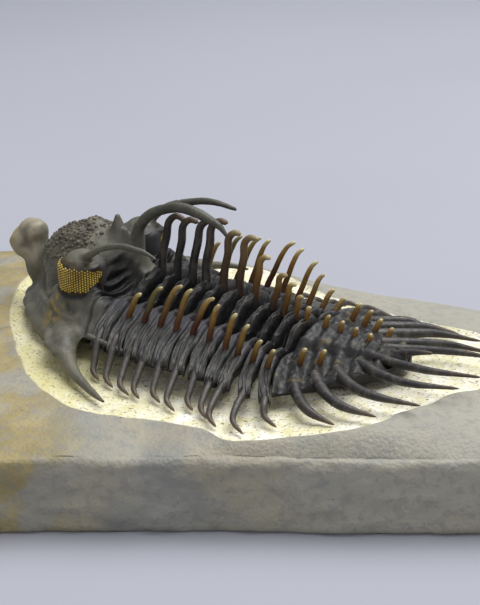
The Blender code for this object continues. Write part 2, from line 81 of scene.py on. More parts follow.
camera_data = bpy.data.cameras.new("photo_camera")
camera_data.sensor_width = SENSOR_WIDTH
camera_data.sensor_fit = "HORIZONTAL"
camera_data.lens = SENSOR_WIDTH * PIXELS_PER_MM * DISTANCE / PICTURE_WIDTH
camera_data.clip_start = 0.001
camera = bpy.data.objects.new("photo_camera", camera_data)
camera.location = in_frame(LOOK_AT + DISTANCE * toward_camera)
camera.rotation_euler = Vector(-toward_camera).to_track_quat("-Z", "Y").to_euler()
bpy.context.scene.collection.objects.link(camera)
bpy.context.scene.camera = camera
bpy.context.scene.view_settings.view_transform = "Standard"
print("camera at", [round(value, 4) for value in camera.location])


# %% Soft lights and a pale surround
LIT_PLACE = (0, 0, 0.012)


def soft_panel(name, place, width, power):
    """A square light that faces the middle of the fossil."""
    data = bpy.data.lights.new(name, "AREA")
    data.shape = "SQUARE"
    data.size = width
    data.energy = power
    made = bpy.data.objects.new(name, data)
    made.location = place
    made.rotation_euler = (Vector(LIT_PLACE) - Vector(place)).to_track_quat("-Z", "Y").to_euler()
    bpy.context.scene.collection.objects.link(made)


soft_panel("overhead_panel", (0.05, 0.15, 0.42), 0.40, 2.8)
soft_panel("front_panel", (0.16, -0.40, 0.30), 0.40, 0.5)
surround = bpy.data.worlds.new("pale_surround")
surround.use_nodes = True
sky = surround.node_tree.nodes["Background"].inputs
sky["Color"].default_value = (0.80, 0.81, 0.88, 1.0)
sky["Strength"].default_value = 0.42
bpy.context.scene.world = surround

# %% [markdown]
# ## Two tools for natural surfaces
# Nothing in a fossil is smooth, so every surface is moved by noise. The noise is worked out here in
# numpy rather than by a texture, because then it is real geometry that the mesh keeps, and the
# same seed gives the same lumps in each run. Meshes are built from rows of points in closed rings, which
# keeps the shapes ordered and closed.


# %% Noise in lumps of a chosen size
def noise(points, lump, seed):
    """A smooth random value from -1 to 1 at each point, in lumps of the given size in millimetres."""
    cell = np.asarray(points, dtype=float) / lump + 31.7 * seed
    corner = np.floor(cell).astype(np.int64)
    ease = cell - corner
    ease = ease * ease * (3.0 - 2.0 * ease)
    total = np.zeros(len(cell))
    for step in range(8):
        bits = (step & 1, step >> 1 & 1, step >> 2 & 1)
        key = np.full(len(cell), seed * 7919, dtype=np.int64)
        weight = np.ones(len(cell))
        for axis, prime in enumerate((73856093, 19349663, 83492791)):
            key ^= (corner[:, axis] + bits[axis]) * prime
            weight *= ease[:, axis] if bits[axis] else 1.0 - ease[:, axis]
        key = (key ^ (key >> 13)) * 1274126177
        total += weight * (((key ^ (key >> 16)) & 0xFFFF) / 32767.5 - 1.0)
    return total


def rough(points, lump, seed, layers=3):
    """Noise with finer noise on it."""
    return sum(noise(points, lump / 2 ** layer, seed + layer) / 2 ** layer for layer in range(layers))


def stacked(x, y, z):
    """Grids or plain numbers as one list of points."""
    return np.stack(np.broadcast_arrays(x, y, z), -1).reshape(-1, 3).astype(float)


def ease_in(value):
    """Zero below 0, one above 1, and a smooth rise between."""
    clamped = np.clip(value, 0.0, 1.0)
    return clamped * clamped * (3.0 - 2.0 * clamped)


print("noise check:", noise(np.array([[0.3, 0.1, 0.7]]), 1.0, 1).round(3))


# %% Meshes from rings of points
def ring_body(name, rings):
    """A closed mesh through rings of points in millimetres, with a fan over each end."""
    rows, around = rings.shape[:2]
    ends = np.array((rings[0].mean(axis=0), rings[-1].mean(axis=0)))
    points = np.concatenate((rings.reshape(-1, 3), ends))
    index = np.arange(rows * around).reshape(rows, around)
    after = np.roll(index, -1, axis=1)
    quads = np.stack((index[:-1], after[:-1], after[1:], index[1:]), axis=-1).reshape(-1, 4).tolist()
    first, last = rows * around, rows * around + 1
    fans = [(first, int(b), int(a)) for a, b in zip(index[0], after[0])]
    fans += [(last, int(a), int(b)) for a, b in zip(index[-1], after[-1])]
    mesh = bpy.data.meshes.new(name)
    mesh.from_pydata(in_frame(points).tolist(), [], quads + fans)
    return outward(mesh)


def outward(mesh):
    """Turn the faces of a closed mesh outwards and shade it smooth."""
    bm = bmesh.new()
    bm.from_mesh(mesh)
    if bm.calc_volume(signed=True) < 0:
        bmesh.ops.reverse_faces(bm, faces=bm.faces)
    bm.to_mesh(mesh)
    bm.free()
    mesh.shade_smooth()
    return mesh


def paint(mesh, name, values):
    """Keep one number for each point of a mesh, for its material to read."""
    held = mesh.attributes.get(name) or mesh.attributes.new(name, "FLOAT", "POINT")
    padded = np.zeros(len(mesh.vertices))
    padded[:len(values)] = values
    held.data.foreach_set("value", padded)


def put_in_scene(name, mesh, *materials):
    mesh.name = name
    for material in materials:
        mesh.materials.append(material)
    made = bpy.data.objects.new(name, mesh)
    bpy.context.scene.collection.objects.link(made)
    return made


print("mesh tools ready")

# %% [markdown]
# ## Finishes
# Stone, shell, spines and eyes share a few effects: soft patches of another colour, fine grit, and
# streaks that run one way. Each is a node group with its own inputs, and each material mixes them with
# its own colours. Streaks are only patches that are stretched along one axis. Where a colour belongs to
# a place on the fossil, such as the pale trough or the tip of a spine, the mesh carries a number for it.


# %% Node helpers
def srgb(*levels):
    """A colour given in 0 to 255, as the linear value that the shaders use."""
    shares = [level / 255.0 for level in levels]
    return tuple(s / 12.92 if s <= 0.04045 else ((s + 0.055) / 1.055) ** 2.4 for s in shares) + (1.0,)


def node(tree, kind, inputs=None, **settings):
    made = tree.nodes.new(kind)
    for key, value in settings.items():
        setattr(made, key, value)
    for key, value in (inputs or {}).items():
        if isinstance(value, bpy.types.NodeSocket):
            tree.links.new(value, made.inputs[key])
        else:
            made.inputs[key].default_value = value
    return made


def group(name, inputs, outputs):
    tree = bpy.data.node_groups.new(name, "ShaderNodeTree")
    for label, kind, value in inputs:
        tree.interface.new_socket(label, in_out="INPUT", socket_type=kind).default_value = value
    for label, kind in outputs:
        tree.interface.new_socket(label, in_out="OUTPUT", socket_type=kind)
    return tree, tree.nodes.new("NodeGroupInput").outputs, tree.nodes.new("NodeGroupOutput").inputs


print("node helpers ready")

# %% Soft patches
patches, given, result = group("patches", (("Scale", "NodeSocketFloat", 1000.0),
                                           ("Stretch", "NodeSocketVector", (1.0, 1.0, 1.0)),
                                           ("Threshold", "NodeSocketFloat", 0.5),
                                           ("Softness", "NodeSocketFloat", 0.1),
                                           ("Detail", "NodeSocketFloat", 3.0)),
                               (("Mask", "NodeSocketFloat"),))
place = node(patches, "ShaderNodeTexCoord").outputs["Object"]
pulled = node(patches, "ShaderNodeVectorMath", {0: place, 1: given["Stretch"]}, operation="MULTIPLY")
cloud = node(patches, "ShaderNodeTexNoise", {"Vector": pulled.outputs[0], "Scale": given["Scale"],
                                             "Detail": given["Detail"], "Roughness": 0.6})
low = node(patches, "ShaderNodeMath", {0: given["Threshold"], 1: given["Softness"]}, operation="SUBTRACT")
high = node(patches, "ShaderNodeMath", {0: given["Threshold"], 1: given["Softness"]}, operation="ADD")
cut = node(patches, "ShaderNodeMapRange", {"Value": cloud.outputs["Fac"], "From Min": low.outputs[0],
                                           "From Max": high.outputs[0]}, interpolation_type="SMOOTHSTEP")
patches.links.new(cut.outputs["Result"], result["Mask"])
print("group:", patches.name)

# %% Grit
grit, given, result = group("grit", (("Scale", "NodeSocketFloat", 3000.0),
                                     ("Stretch", "NodeSocketVector", (1.0, 1.0, 1.0)),
                                     ("Pits", "NodeSocketFloat", 0.4)), (("Height", "NodeSocketFloat"),))
place = node(grit, "ShaderNodeTexCoord").outputs["Object"]
pulled = node(grit, "ShaderNodeVectorMath", {0: place, 1: given["Stretch"]}, operation="MULTIPLY")
fine = node(grit, "ShaderNodeTexNoise", {"Vector": pulled.outputs[0], "Scale": given["Scale"],
                                         "Detail": 4.0, "Roughness": 0.65})
cells = node(grit, "ShaderNodeTexVoronoi", {"Vector": pulled.outputs[0], "Scale": given["Scale"]})
pitted = node(grit, "ShaderNodeMath", {0: cells.outputs["Distance"], 1: given["Pits"]}, operation="MULTIPLY")
both = node(grit, "ShaderNodeMath", {0: fine.outputs["Fac"], 1: pitted.outputs[0]}, operation="ADD")
grit.links.new(both.outputs[0], result["Height"])
print("group:", grit.name)


# %% Helpers that place the groups in a material
def material(name, roughness, **constants):
    made = bpy.data.materials.new(name)
    made.use_nodes = True
    shader = made.node_tree.nodes["Principled BSDF"]
    shader.inputs["Roughness"].default_value = roughness
    for label, value in constants.items():
        shader.inputs[label.replace("_", " ")].default_value = value
    return made, made.node_tree, shader


def patch_mask(tree, scale, threshold=0.5, softness=0.1, stretch=(1.0, 1.0, 1.0), detail=3.0):
    values = {"Scale": scale, "Threshold": threshold, "Softness": softness, "Stretch": stretch,
              "Detail": detail}
    return node(tree, "ShaderNodeGroup", values, node_tree=patches).outputs["Mask"]


def carried(tree, name):
    return node(tree, "ShaderNodeAttribute", attribute_name=name).outputs["Fac"]


def product(tree, first, second):
    return node(tree, "ShaderNodeMath", {0: first, 1: second}, operation="MULTIPLY").outputs[0]


def mixed(tree, share, first, second):
    return node(tree, "ShaderNodeMix", {0: share, 6: first, 7: second}, data_type="RGBA").outputs[2]


def two_tone(tree, patch, first, second):
    return mixed(tree, patch_mask(tree, *patch), srgb(*first), srgb(*second))


def layered(tree, base, *layers):
    """Lay colours over a base in turn; each layer is a mask, how strongly it covers, and its colour."""
    for mask, strength, colour in layers:
        if isinstance(mask, str):
            mask = carried(tree, mask)
        elif isinstance(mask, tuple):
            mask = patch_mask(tree, *mask)
        base = mixed(tree, product(tree, mask, strength), base, srgb(*colour))
    return base


def gritty(tree, shader, depth, scale, stretch=(1.0, 1.0, 1.0), pits=0.4):
    """Fine relief under the light, in metres of depth."""
    height = node(tree, "ShaderNodeGroup", {"Scale": scale, "Stretch": stretch, "Pits": pits},
                  node_tree=grit).outputs["Height"]
    bump = node(tree, "ShaderNodeBump", {"Strength": 1.0, "Distance": depth, "Height": height})
    tree.links.new(bump.outputs["Normal"], shader.inputs["Normal"])


def roughened(tree, shader, mask, low, high):
    spread = node(tree, "ShaderNodeMapRange", {"Value": mask, "To Min": low, "To Max": high})
    tree.links.new(spread.outputs["Result"], shader.inputs["Roughness"])


print("material helpers ready")

# %% [markdown]
# ### Limestone
# The slab is one stone with two faces. Where the abrasive tool worked, the trough is cream and granular,
# with yellow stains and dark specks. The rest is smooth: ochre with thin veins at the head's side, grey
# with faint clouds in front and behind. The mesh says where each belongs, and patches break them up.

# %% Limestone material
limestone, tree, shader = material("limestone", 0.8)
grey_stone = layered(tree, two_tone(tree, (130.0, 0.5, 0.16), (126, 126, 120), (146, 145, 136)),
                     ((75.0, 0.56, 0.08), 0.4, (172, 160, 128)), ("bright", 0.7, (160, 157, 142)))
ochre_stone = layered(tree, two_tone(tree, (210.0, 0.5, 0.2), (136, 124, 84), (164, 149, 104)),
                      ((120.0, 0.56, 0.07), 0.7, (146, 146, 140)))
smooth_stone = layered(tree, mixed(tree, carried(tree, "ochre"), grey_stone, ochre_stone),
                       ((900.0, 0.56, 0.05), 0.35, (120, 121, 120)), ("vein", 0.6, (112, 92, 70)),
                       ((1100.0, 0.74, 0.02), 0.85, (40, 32, 24)))
cream = layered(tree, two_tone(tree, (420.0, 0.5, 0.15), (228, 223, 196), (246, 243, 230)),
                ((700.0, 0.54, 0.08), 0.5, (214, 207, 150)), ("stain", 0.7, (196, 188, 124)),
                ((2600.0, 0.62, 0.05), 0.75, (120, 112, 84)), ((1700.0, 0.66, 0.03), 0.8, (62, 52, 34)))
stone = mixed(tree, carried(tree, "trough"), smooth_stone, cream)
tree.links.new(stone, shader.inputs["Base Color"])
roughened(tree, shader, carried(tree, "trough"), 0.62, 0.92)
gritty(tree, shader, 0.00012, 2400.0, pits=0.5)
print("material:", limestone.name)

# %% [markdown]
# ### Shell
# The shell is dark blue-grey calcite with a satin surface. Fine light fibres run along each rib, down the
# fossil's sides, so those patches are stretched along y. The head is a warmer olive grey with only soft
# blotches. Shade is painted in, close to black, in hollows, furrows and undersides: the mesh carries how
# deep each point lies.

# %% Shell material
shell, tree, shader = material("dark_shell", 0.5, Coat_Weight=0.06, Coat_Roughness=0.35)
fibre = (900.0, 0.54, 0.05, (5.0, 0.55, 0.8), 4.0)
flank = layered(tree, two_tone(tree, (600.0, 0.5, 0.15), (15, 16, 16), (33, 32, 31)),
                ("sheen", 0.75, (37, 35, 46)), (fibre, 0.3, (80, 77, 72)), ("thread", 0.5, (82, 79, 71)))
cheek = layered(tree, two_tone(tree, (380.0, 0.5, 0.18), (76, 75, 63), (100, 98, 83)),
                ((1300.0, 0.6, 0.06), 0.5, (112, 108, 92)), ("pale", 0.85, (160, 151, 128)))
rind = two_tone(tree, (700.0, 0.5, 0.12), (62, 54, 42), (100, 94, 76))
cheek = mixed(tree, product(tree, carried(tree, "crown"), 0.8), cheek, rind)
# Amber spots with a painted glow on the head's knob, then painted shade: near black over the hollows, furrows
# and undersides that the mesh marks
shell_colour = layered(tree, mixed(tree, carried(tree, "olive"), flank, cheek),
                       ("amber_and_glow", 1.0, (150, 128, 52)), ("hollow_shade", 1.0, (8, 8, 10)))
tree.links.new(shell_colour, shader.inputs["Base Color"])
roughened(tree, shader, patch_mask(tree, 1500.0, 0.5, 0.2), 0.46, 0.7)
gritty(tree, shader, 0.00006, 2600.0, (1.0, 0.4, 0.6), 0.3)
print("material:", shell.name)

# %% [markdown]
# ### Spines
# The big spines on the axis and at the sides are dark like the shell. The small upright ones are amber
# calcite: red-brown at the root, honey-coloured along their length, and pale yellow at the blunt tip. One
# material does both, since each spine's mesh carries how far along it a point is, and how amber it is.

# %% Spine material
spine_finish, tree, shader = material("spine_calcite", 0.5, Coat_Weight=0.1, Coat_Roughness=0.35)
along = carried(tree, "along")
honey = node(tree, "ShaderNodeValToRGB", {"Fac": along})
stops = ((0.0, (34, 26, 20)), (0.2, (78, 52, 20)), (0.45, (126, 92, 30)), (0.8, (156, 124, 52)),
         (1.0, (216, 206, 152)))
ramp = honey.color_ramp
while len(ramp.elements) < len(stops):
    ramp.elements.new(0.5)
for element, (position, colour) in zip(ramp.elements, stops):
    element.position = position
    element.color = srgb(*colour)
amber_colour = layered(tree, honey.outputs["Color"], ((800.0, 0.5, 0.12), 0.5, (120, 72, 26)),
                       ("ruddy", 1.0, (70, 26, 14)), ("green", 1.0, (84, 84, 48)))
tip = node(tree, "ShaderNodeMapRange", {"Value": along, "From Min": 0.7, "From Max": 1.0, "To Max": 0.45})
dark_colour = layered(tree, two_tone(tree, (500.0, 0.5, 0.15), (30, 28, 28), (52, 48, 45)),
                      ("pale", 0.8, (90, 84, 74)),
                      ((1400.0, 0.56, 0.06, (1.0, 1.0, 0.25)), 0.5, (88, 81, 72)),
                      (tip.outputs["Result"], 1.0, (112, 84, 52)))
spine_colour = mixed(tree, carried(tree, "amber_and_glow"), dark_colour, amber_colour)
tree.links.new(spine_colour, shader.inputs["Base Color"])
roughened(tree, shader, patch_mask(tree, 1800.0, 0.5, 0.2), 0.42, 0.66)
gritty(tree, shader, 0.00003, 2600.0)
print("material:", spine_finish.name)

# %% [markdown]
# ### Eyes
# Each lens is a small bead of clear yellow calcite on a nearly black ground, so the lenses are beads of
# their own with a glossy coat, and the drum under them is dark.

# %% Eye materials
lens_finish, tree, shader = material("lens_calcite", 0.25, Coat_Weight=0.5, Coat_Roughness=0.12)
lens_colour = two_tone(tree, (450.0, 0.5, 0.15), (144, 112, 30), (198, 170, 66))
tree.links.new(lens_colour, shader.inputs["Base Color"])
drum_finish, tree, shader = material("eye_ground", 0.6)
drum_colour = layered(tree, two_tone(tree, (1500.0, 0.5, 0.1), (34, 26, 8), (64, 50, 16)),
                      ("rear", 1.0, (64, 62, 64)))
tree.links.new(drum_colour, shader.inputs["Base Color"])
print("materials for the eyes:", lens_finish.name, drum_finish.name)

# %% Floor
pale_floor, tree, shader = material("pale_floor", 0.9)
floor_colour = two_tone(tree, (6.0, 0.5, 0.3), (156, 158, 167), (161, 163, 172))
tree.links.new(floor_colour, shader.inputs["Base Color"])
floor_mesh = bpy.data.meshes.new("floor")
floor_mesh.from_pydata([(-2.5, -2.5, 0), (2.5, -2.5, 0), (2.5, 2.5, 0), (-2.5, 2.5, 0)], [], [(0, 1, 2, 3)])
floor = put_in_scene("floor", floor_mesh, pale_floor)
print("floor:", tuple(round(side, 2) for side in floor.dimensions))

# %% [markdown]
# ## The slab
# The stone is a loose piece with a straight sawn side and broken sides elsewhere, hollowed into a shallow
# trough around the fossil. It is lofted from rings about one middle point: over the mound under the
# fossil, across the trough floor, up its lip, over the smooth stone, round the edge, down the side and
# under. Rings give close detail at the trough's lip, where the eye goes, without spending it elsewhere.

# %% Outlines and heights of the slab
BASE = 9.0
SAW_ANGLE = math.radians(29.5)
LIP_HEIGHT = 0.5
SLAB_HUB = np.array((9.0, 0.0))
SLAB_OUTLINE = ((-26, -31), (9, -31), (44, -31), (48, -24), (48, 5), (41, 11), (31, 16), (18, 22),
                (-3, 28.5), (-22, 34.5), (-30, 32), (-33, 20), (-32, -6), (-30, -28))
TROUGH_OUTLINE = ((41, 1.0), (38.4, -3.4), (35.4, -9.2), (31.2, -15.0), (26.6, -17.7), (21.6, -20.5),
                  (16.6, -20.0), (10.8, -21.2), (4.5, -22.8), (-2, -21.2), (-10, -15.5), (-17.3, -7.9),
                  (-22.0, -1.2), (-24.4, 5.2), (-24, 12), (-16, 17.5), (-6, 21.3), (3, 22.4),
                  (8.5, 20.8), (13, 18.6), (20, 17.4), (29, 15.4), (36, 13.5), (41, 8))
MOUND_OUTLINE = [(14.0 + 12.0 * math.copysign(abs(math.cos(t)) ** 0.7, math.cos(t)),
                  8.6 * math.copysign(abs(math.sin(t)) ** 0.7, math.sin(t)))
                 for t in (2 * math.pi * step / 20 for step in range(20))]


def floor_height(x):
    return 1.8 * ease_in((x - 20.0) / 20.0)


def mound_height(x):
    return 2.6 - 0.055 * (x + 1.0)


def edge_height(x, y):
    away = -x * math.sin(SAW_ANGLE) + y * math.cos(SAW_ANGLE)
    return -0.45 - 2.55 * ease_in((away + 31.0) / 65.5)


print("slab thickness under the trough:", BASE, "mm")


# %% Distances to the outlines in each direction
def through(p0, p1, p2, p3, t):
    """A point on the smooth curve from p1 to p2, at the share t of the way."""
    return 0.5 * (2 * p1 + (p2 - p0) * t + (2 * p0 - 5 * p1 + 4 * p2 - p3) * t ** 2
                  + (3 * p1 - p0 - 3 * p2 + p3) * t ** 3)


def smooth_outline(outline):
    """A smooth closed curve through an outline's corners."""
    knots = np.array(outline, dtype=float)
    steps = np.arange(8)[:, None] / 8.0
    return np.concatenate([through(*(knots[(index + shift) % len(knots)] for shift in (-1, 0, 1, 2)), steps)
                           for index in range(len(knots))])


def reach(outline, angles):
    offset = smooth_outline(outline) - SLAB_HUB
    bearing = np.arctan2(offset[:, 1], offset[:, 0])
    order = np.argsort(bearing)
    return np.interp(angles, bearing[order], np.hypot(*offset[order].T), period=2 * math.pi)


def sawn(point):
    return (point[0] * math.cos(SAW_ANGLE) - point[1] * math.sin(SAW_ANGLE),
            point[0] * math.sin(SAW_ANGLE) + point[1] * math.cos(SAW_ANGLE))


SPREAD = np.arange(480) * 2 * math.pi / 480
ANGLES = np.arctan2(0.75 * np.sin(SPREAD), np.cos(SPREAD))
AROUND = np.stack((np.cos(ANGLES), np.sin(ANGLES), 0 * ANGLES), axis=1)
mound_reach = reach(MOUND_OUTLINE, ANGLES)
edge_reach = reach([sawn(point) for point in SLAB_OUTLINE], ANGLES)
trough_reach = reach(TROUGH_OUTLINE, ANGLES)
print("trough reaches", trough_reach.min().round(1), "to", trough_reach.max().round(1), "mm from the hub")

# %% Rings of the slab
trough_reach = trough_reach + 0.25 * rough(AROUND * trough_reach[:, None], 3.0, 3)
edge_reach = edge_reach + 0.35 * rough(AROUND * edge_reach[:, None], 9.0, 5)


def stone_ring(radius, height):
    """One ring about the hub; height takes x and y."""
    x = SLAB_HUB[0] + radius * np.cos(ANGLES)
    y = SLAB_HUB[1] + radius * np.sin(ANGLES)
    return np.stack((x, y, height(x, y) + 0 * x), axis=1)


def between(radius_a, radius_b, height, count):
    """Rings from one radius to another; height takes x, y and the share of the way."""
    return [stone_ring(radius_a + (radius_b - radius_a) * share,
                       lambda x, y, share=share: height(x, y, share)) for share in np.arange(count) / count]


def blend_heights(first, second, ease):
    return lambda x, y, share: first(x, y) + (second(x, y) - first(x, y)) * ease(share)


def low_floor(x, y):
    return floor_height(x)


def lip_top(x, y):
    return floor_height(x) + LIP_HEIGHT


def on_mound(x, y):
    return mound_height(x)


MOUND_FOOT = 1.25 * mound_reach
LIP_START, LIP_END = trough_reach - 1.1, trough_reach + 0.3
EDGE_ROUND = 1.0
rings = between(0.05 * mound_reach, mound_reach, lambda x, y, share: mound_height(x), 5)
rings += between(mound_reach, MOUND_FOOT, blend_heights(on_mound, low_floor, ease_in), 9)
rings += between(MOUND_FOOT, LIP_START, lambda x, y, share: floor_height(x), 52)
rings += between(LIP_START, LIP_END, blend_heights(low_floor, lip_top, ease_in), 14)
rings += between(LIP_END, edge_reach - EDGE_ROUND,
                 blend_heights(lip_top, edge_height, lambda share: 0.6 * share + 0.4 * share ** 2), 76)
top_rings = len(rings)
for turn in np.linspace(0, math.pi / 2, 7):
    rings.append(stone_ring(edge_reach - EDGE_ROUND + math.sin(turn),
                            lambda x, y, turn=turn: edge_height(x, y) - EDGE_ROUND + math.cos(turn)))
for share in np.linspace(0.06, 1.0, 20):
    rings.append(stone_ring(edge_reach - 0.4 * ease_in((share - 0.93) / 0.07), lambda x, y, share=share:
                            (edge_height(x, y) - EDGE_ROUND) * (1 - share) - BASE * share))
for share in (0.85, 0.5, 0.1):
    rings.append(stone_ring(edge_reach * share, lambda x, y: -BASE))
slab_points = np.array(rings)
print("slab rings:", slab_points.shape)

# %% Relief of the slab and what its material reads
flat = slab_points.reshape(-1, 3)
distance = np.hypot(flat[:, 0] - SLAB_HUB[0], flat[:, 1] - SLAB_HUB[1])
lip_at = np.tile(trough_reach, len(rings))
in_trough = 1.0 - ease_in((distance - lip_at + 0.35) / 0.4)
ring_number = np.repeat(np.arange(len(rings)), len(ANGLES))
on_top = (ring_number < top_rings).astype(float)
on_side = ((ring_number >= top_rings) & (ring_number < len(rings) - 4)).astype(float)
relief = in_trough * (0.09 * rough(flat, 1.7, 11) + 0.05 * noise(flat, 0.7, 12))
relief += (1 - in_trough) * (0.16 * rough(flat, 11.0, 14) + 0.02 * noise(flat, 1.4, 15))
under_fossil = 1.0 - ease_in((distance - np.tile(mound_reach * 1.25, len(rings))) / 1.5)
flat[:, 2] += on_top * relief * (1 - under_fossil)
outward_way = np.tile(AROUND, (len(rings), 1))
flat += outward_way * (on_side * 0.28 * rough(flat * (1, 1, 2.2), 2.6, 17))[:, None]
slab_mesh = ring_body("matrix", flat.reshape(slab_points.shape))

leftward = -flat[:, 0] * math.cos(SAW_ANGLE) - flat[:, 1] * math.sin(SAW_ANGLE)
ochre = ease_in((leftward - 1.0) / 11.0 + 0.35 * rough(flat, 13.0, 21))
vein = np.exp(-(noise(flat, 7.0, 23) / 0.025) ** 2) * ease_in(noise(flat, 9.0, 24) + 0.4) * ochre
stain = 0.15 + 0.75 * ease_in((leftward + 2.0) / 12.0) + 0.45 * rough(flat, 5.0, 25)
bright = ease_in((-leftward - 9.0) / 14.0)
for label, values in (("trough", in_trough * on_top), ("ochre", ochre), ("bright", bright), ("vein", vein),
                      ("stain", np.clip(stain, 0, 1) * in_trough)):
    paint(slab_mesh, label, values)
matrix = put_in_scene("stone_slab", slab_mesh, limestone)
print("slab faces:", len(slab_mesh.polygons))

# %% [markdown]
# ## The thorax
# Eleven hoops follow one another like a lobster's tail, each with a raised ring over the axis and two
# ribs on each side that bend down at the flank. They follow one rule, so one function makes them all from
# a few tables: height of the crest, sweep of the rear edge and spacing. Each is a sheaf of cross-sections
# from the left end to the right end, with rounded edges, furrows and a ragged lower margin.

# %% Tables of the thorax
SEGMENTS = 11
HALF_WIDTH = 14.0
FULCRUM = 9.0
FAR_FULCRUM = 8.0
PITCH, SHORT_PITCH, SHORT_FROM = 2.1, 1.55, 8     # the last segments stand closer together
RESTS_ABOVE = 0.36         # clear height over the mound
CREST = (7.9, 7.6, 7.5, 7.5, 7.5, 7.4, 7.1, 6.6, 6.1, 5.8, 5.5)
EDGE_SWEEP = (0, 0, 0, 0, 0.1, 0.2, 0.4, 0.3, 0.2, 1.4, 2.4)
END_SHARE = (0.945, 0.955, 0.975, 1, 1, 1, 1, 1, 1, 1, 1)
# How far each segment's far side lies below the near one, and the least height it keeps
FAR_LOWEST = 1.5
FAR_SAG = (1.0, 1.9, 2.3, 2.5, 2.5, 2.4, 2.4, 2.4, 2.1, 1.5, 0.8)


def sway(w):
    """How far forward a segment bows, at a distance from the axis."""
    inner = ((np.abs(w) - FULCRUM) / FULCRUM) ** 2
    outer = ((np.abs(w) - FULCRUM) / (HALF_WIDTH - FULCRUM)) ** 2
    return -0.9 * (1 - np.where(np.abs(w) < FULCRUM, inner, outer))


def rear_sweep(w, sweep):
    """How far a segment's side part is swept back."""
    return sweep * np.clip((np.abs(w) - 5.0) / (HALF_WIDTH - 5.0), 0, None) ** 1.5


def segment_x(number):
    return PITCH * (min(number, SHORT_FROM) - 1) + SHORT_PITCH * max(0, number - SHORT_FROM)


def lowering(crest):
    return (crest - CREST[-1]) / (CREST[1] - CREST[-1])


def body_profile(w, number):
    """Height of the shell across the body, rounded where the tables turn; w is positive on the far side."""
    crest = CREST[number - 1]
    low = lowering(crest)
    fulcrum, edge, axis = 3.2 + 2.1 * low, 2.5 + 0.8 * low, 3.5 + 0.9 * low
    furrow = 0.5 * (crest + fulcrum) - 0.7
    places = (0, 0.55 * axis, 0.85 * axis, axis + 0.2, 6.4, FULCRUM, 12.0, HALF_WIDTH)
    heights = (crest, crest - 0.5, crest - 1.2, furrow, furrow + 0.15, fulcrum,
               0.55 * fulcrum + 0.45 * edge, edge)
    offsets = np.linspace(-0.6, 0.6, 7)
    plain = sum(np.interp(np.abs(w + offset), places, heights) for offset in offsets) / len(offsets)
    return np.maximum(plain - FAR_SAG[number - 1] * ease_in((w - 3.0) / 10.0), FAR_LOWEST)


print("last segment stands at x =", round(segment_x(SEGMENTS), 2), "mm")


# %% Relief of one segment
def segment_relief(number, w, u):
    """How far the surface stands above its plain form; u runs from -1 at the front to 1 at the rear."""
    axis = 3.5 + 0.9 * lowering(CREST[number - 1])
    side = ease_in((np.abs(w) - axis) / 0.5)
    outer = ease_in((np.abs(w) - 5.7) / 1.8)
    gap = (1 - side) * 1.7 * ease_in((np.abs(u) - 0.34) / 0.5)
    gap = gap + side * (1 - outer) * 1.9 * ease_in((np.abs(u - 0.06) - 0.3) / 0.5)
    gap = gap + outer * 0.2 * ease_in((np.abs(u + 0.04) - 0.86) / 0.16)
    crease = -0.3 + 0.03 * (np.abs(w) - axis)
    split = side * (0.12 + 0.14 * (1 - outer)) * np.exp(-((u - crease) / 0.09) ** 2)
    swell = side * 0.32 * np.exp(-((np.abs(w) - 7.6) / 1.3) ** 2)
    trench = 0.55 * np.exp(-((np.abs(w) - axis - 0.35) / 0.55) ** 2)
    return (1 - side) * 0.3 * (1 - u * u) + side * 0.12 + swell - gap - split - trench


crest_relief = float(segment_relief(1, np.array(0.0), np.array(0.0)))
print("relief of the first ring's crest:", round(crest_relief, 2), "mm")


# %% Body of one segment
def fibres(w, u, half, seed):
    """Thin threads that run along the segment, matted where they cross."""
    drift = 0.12 * noise(stacked(w, 0, seed), 2.6, 32).reshape(w.shape)
    thin = stacked((u * half + drift) * 7.5, w * 0.5, seed)
    thick = stacked((u * half - drift) * 3.4, w * 0.3, seed)
    return (0.75 * rough(thin, 1.0, 33, 2) + 0.3 * noise(thick, 1.0, 36)).reshape(w.shape)


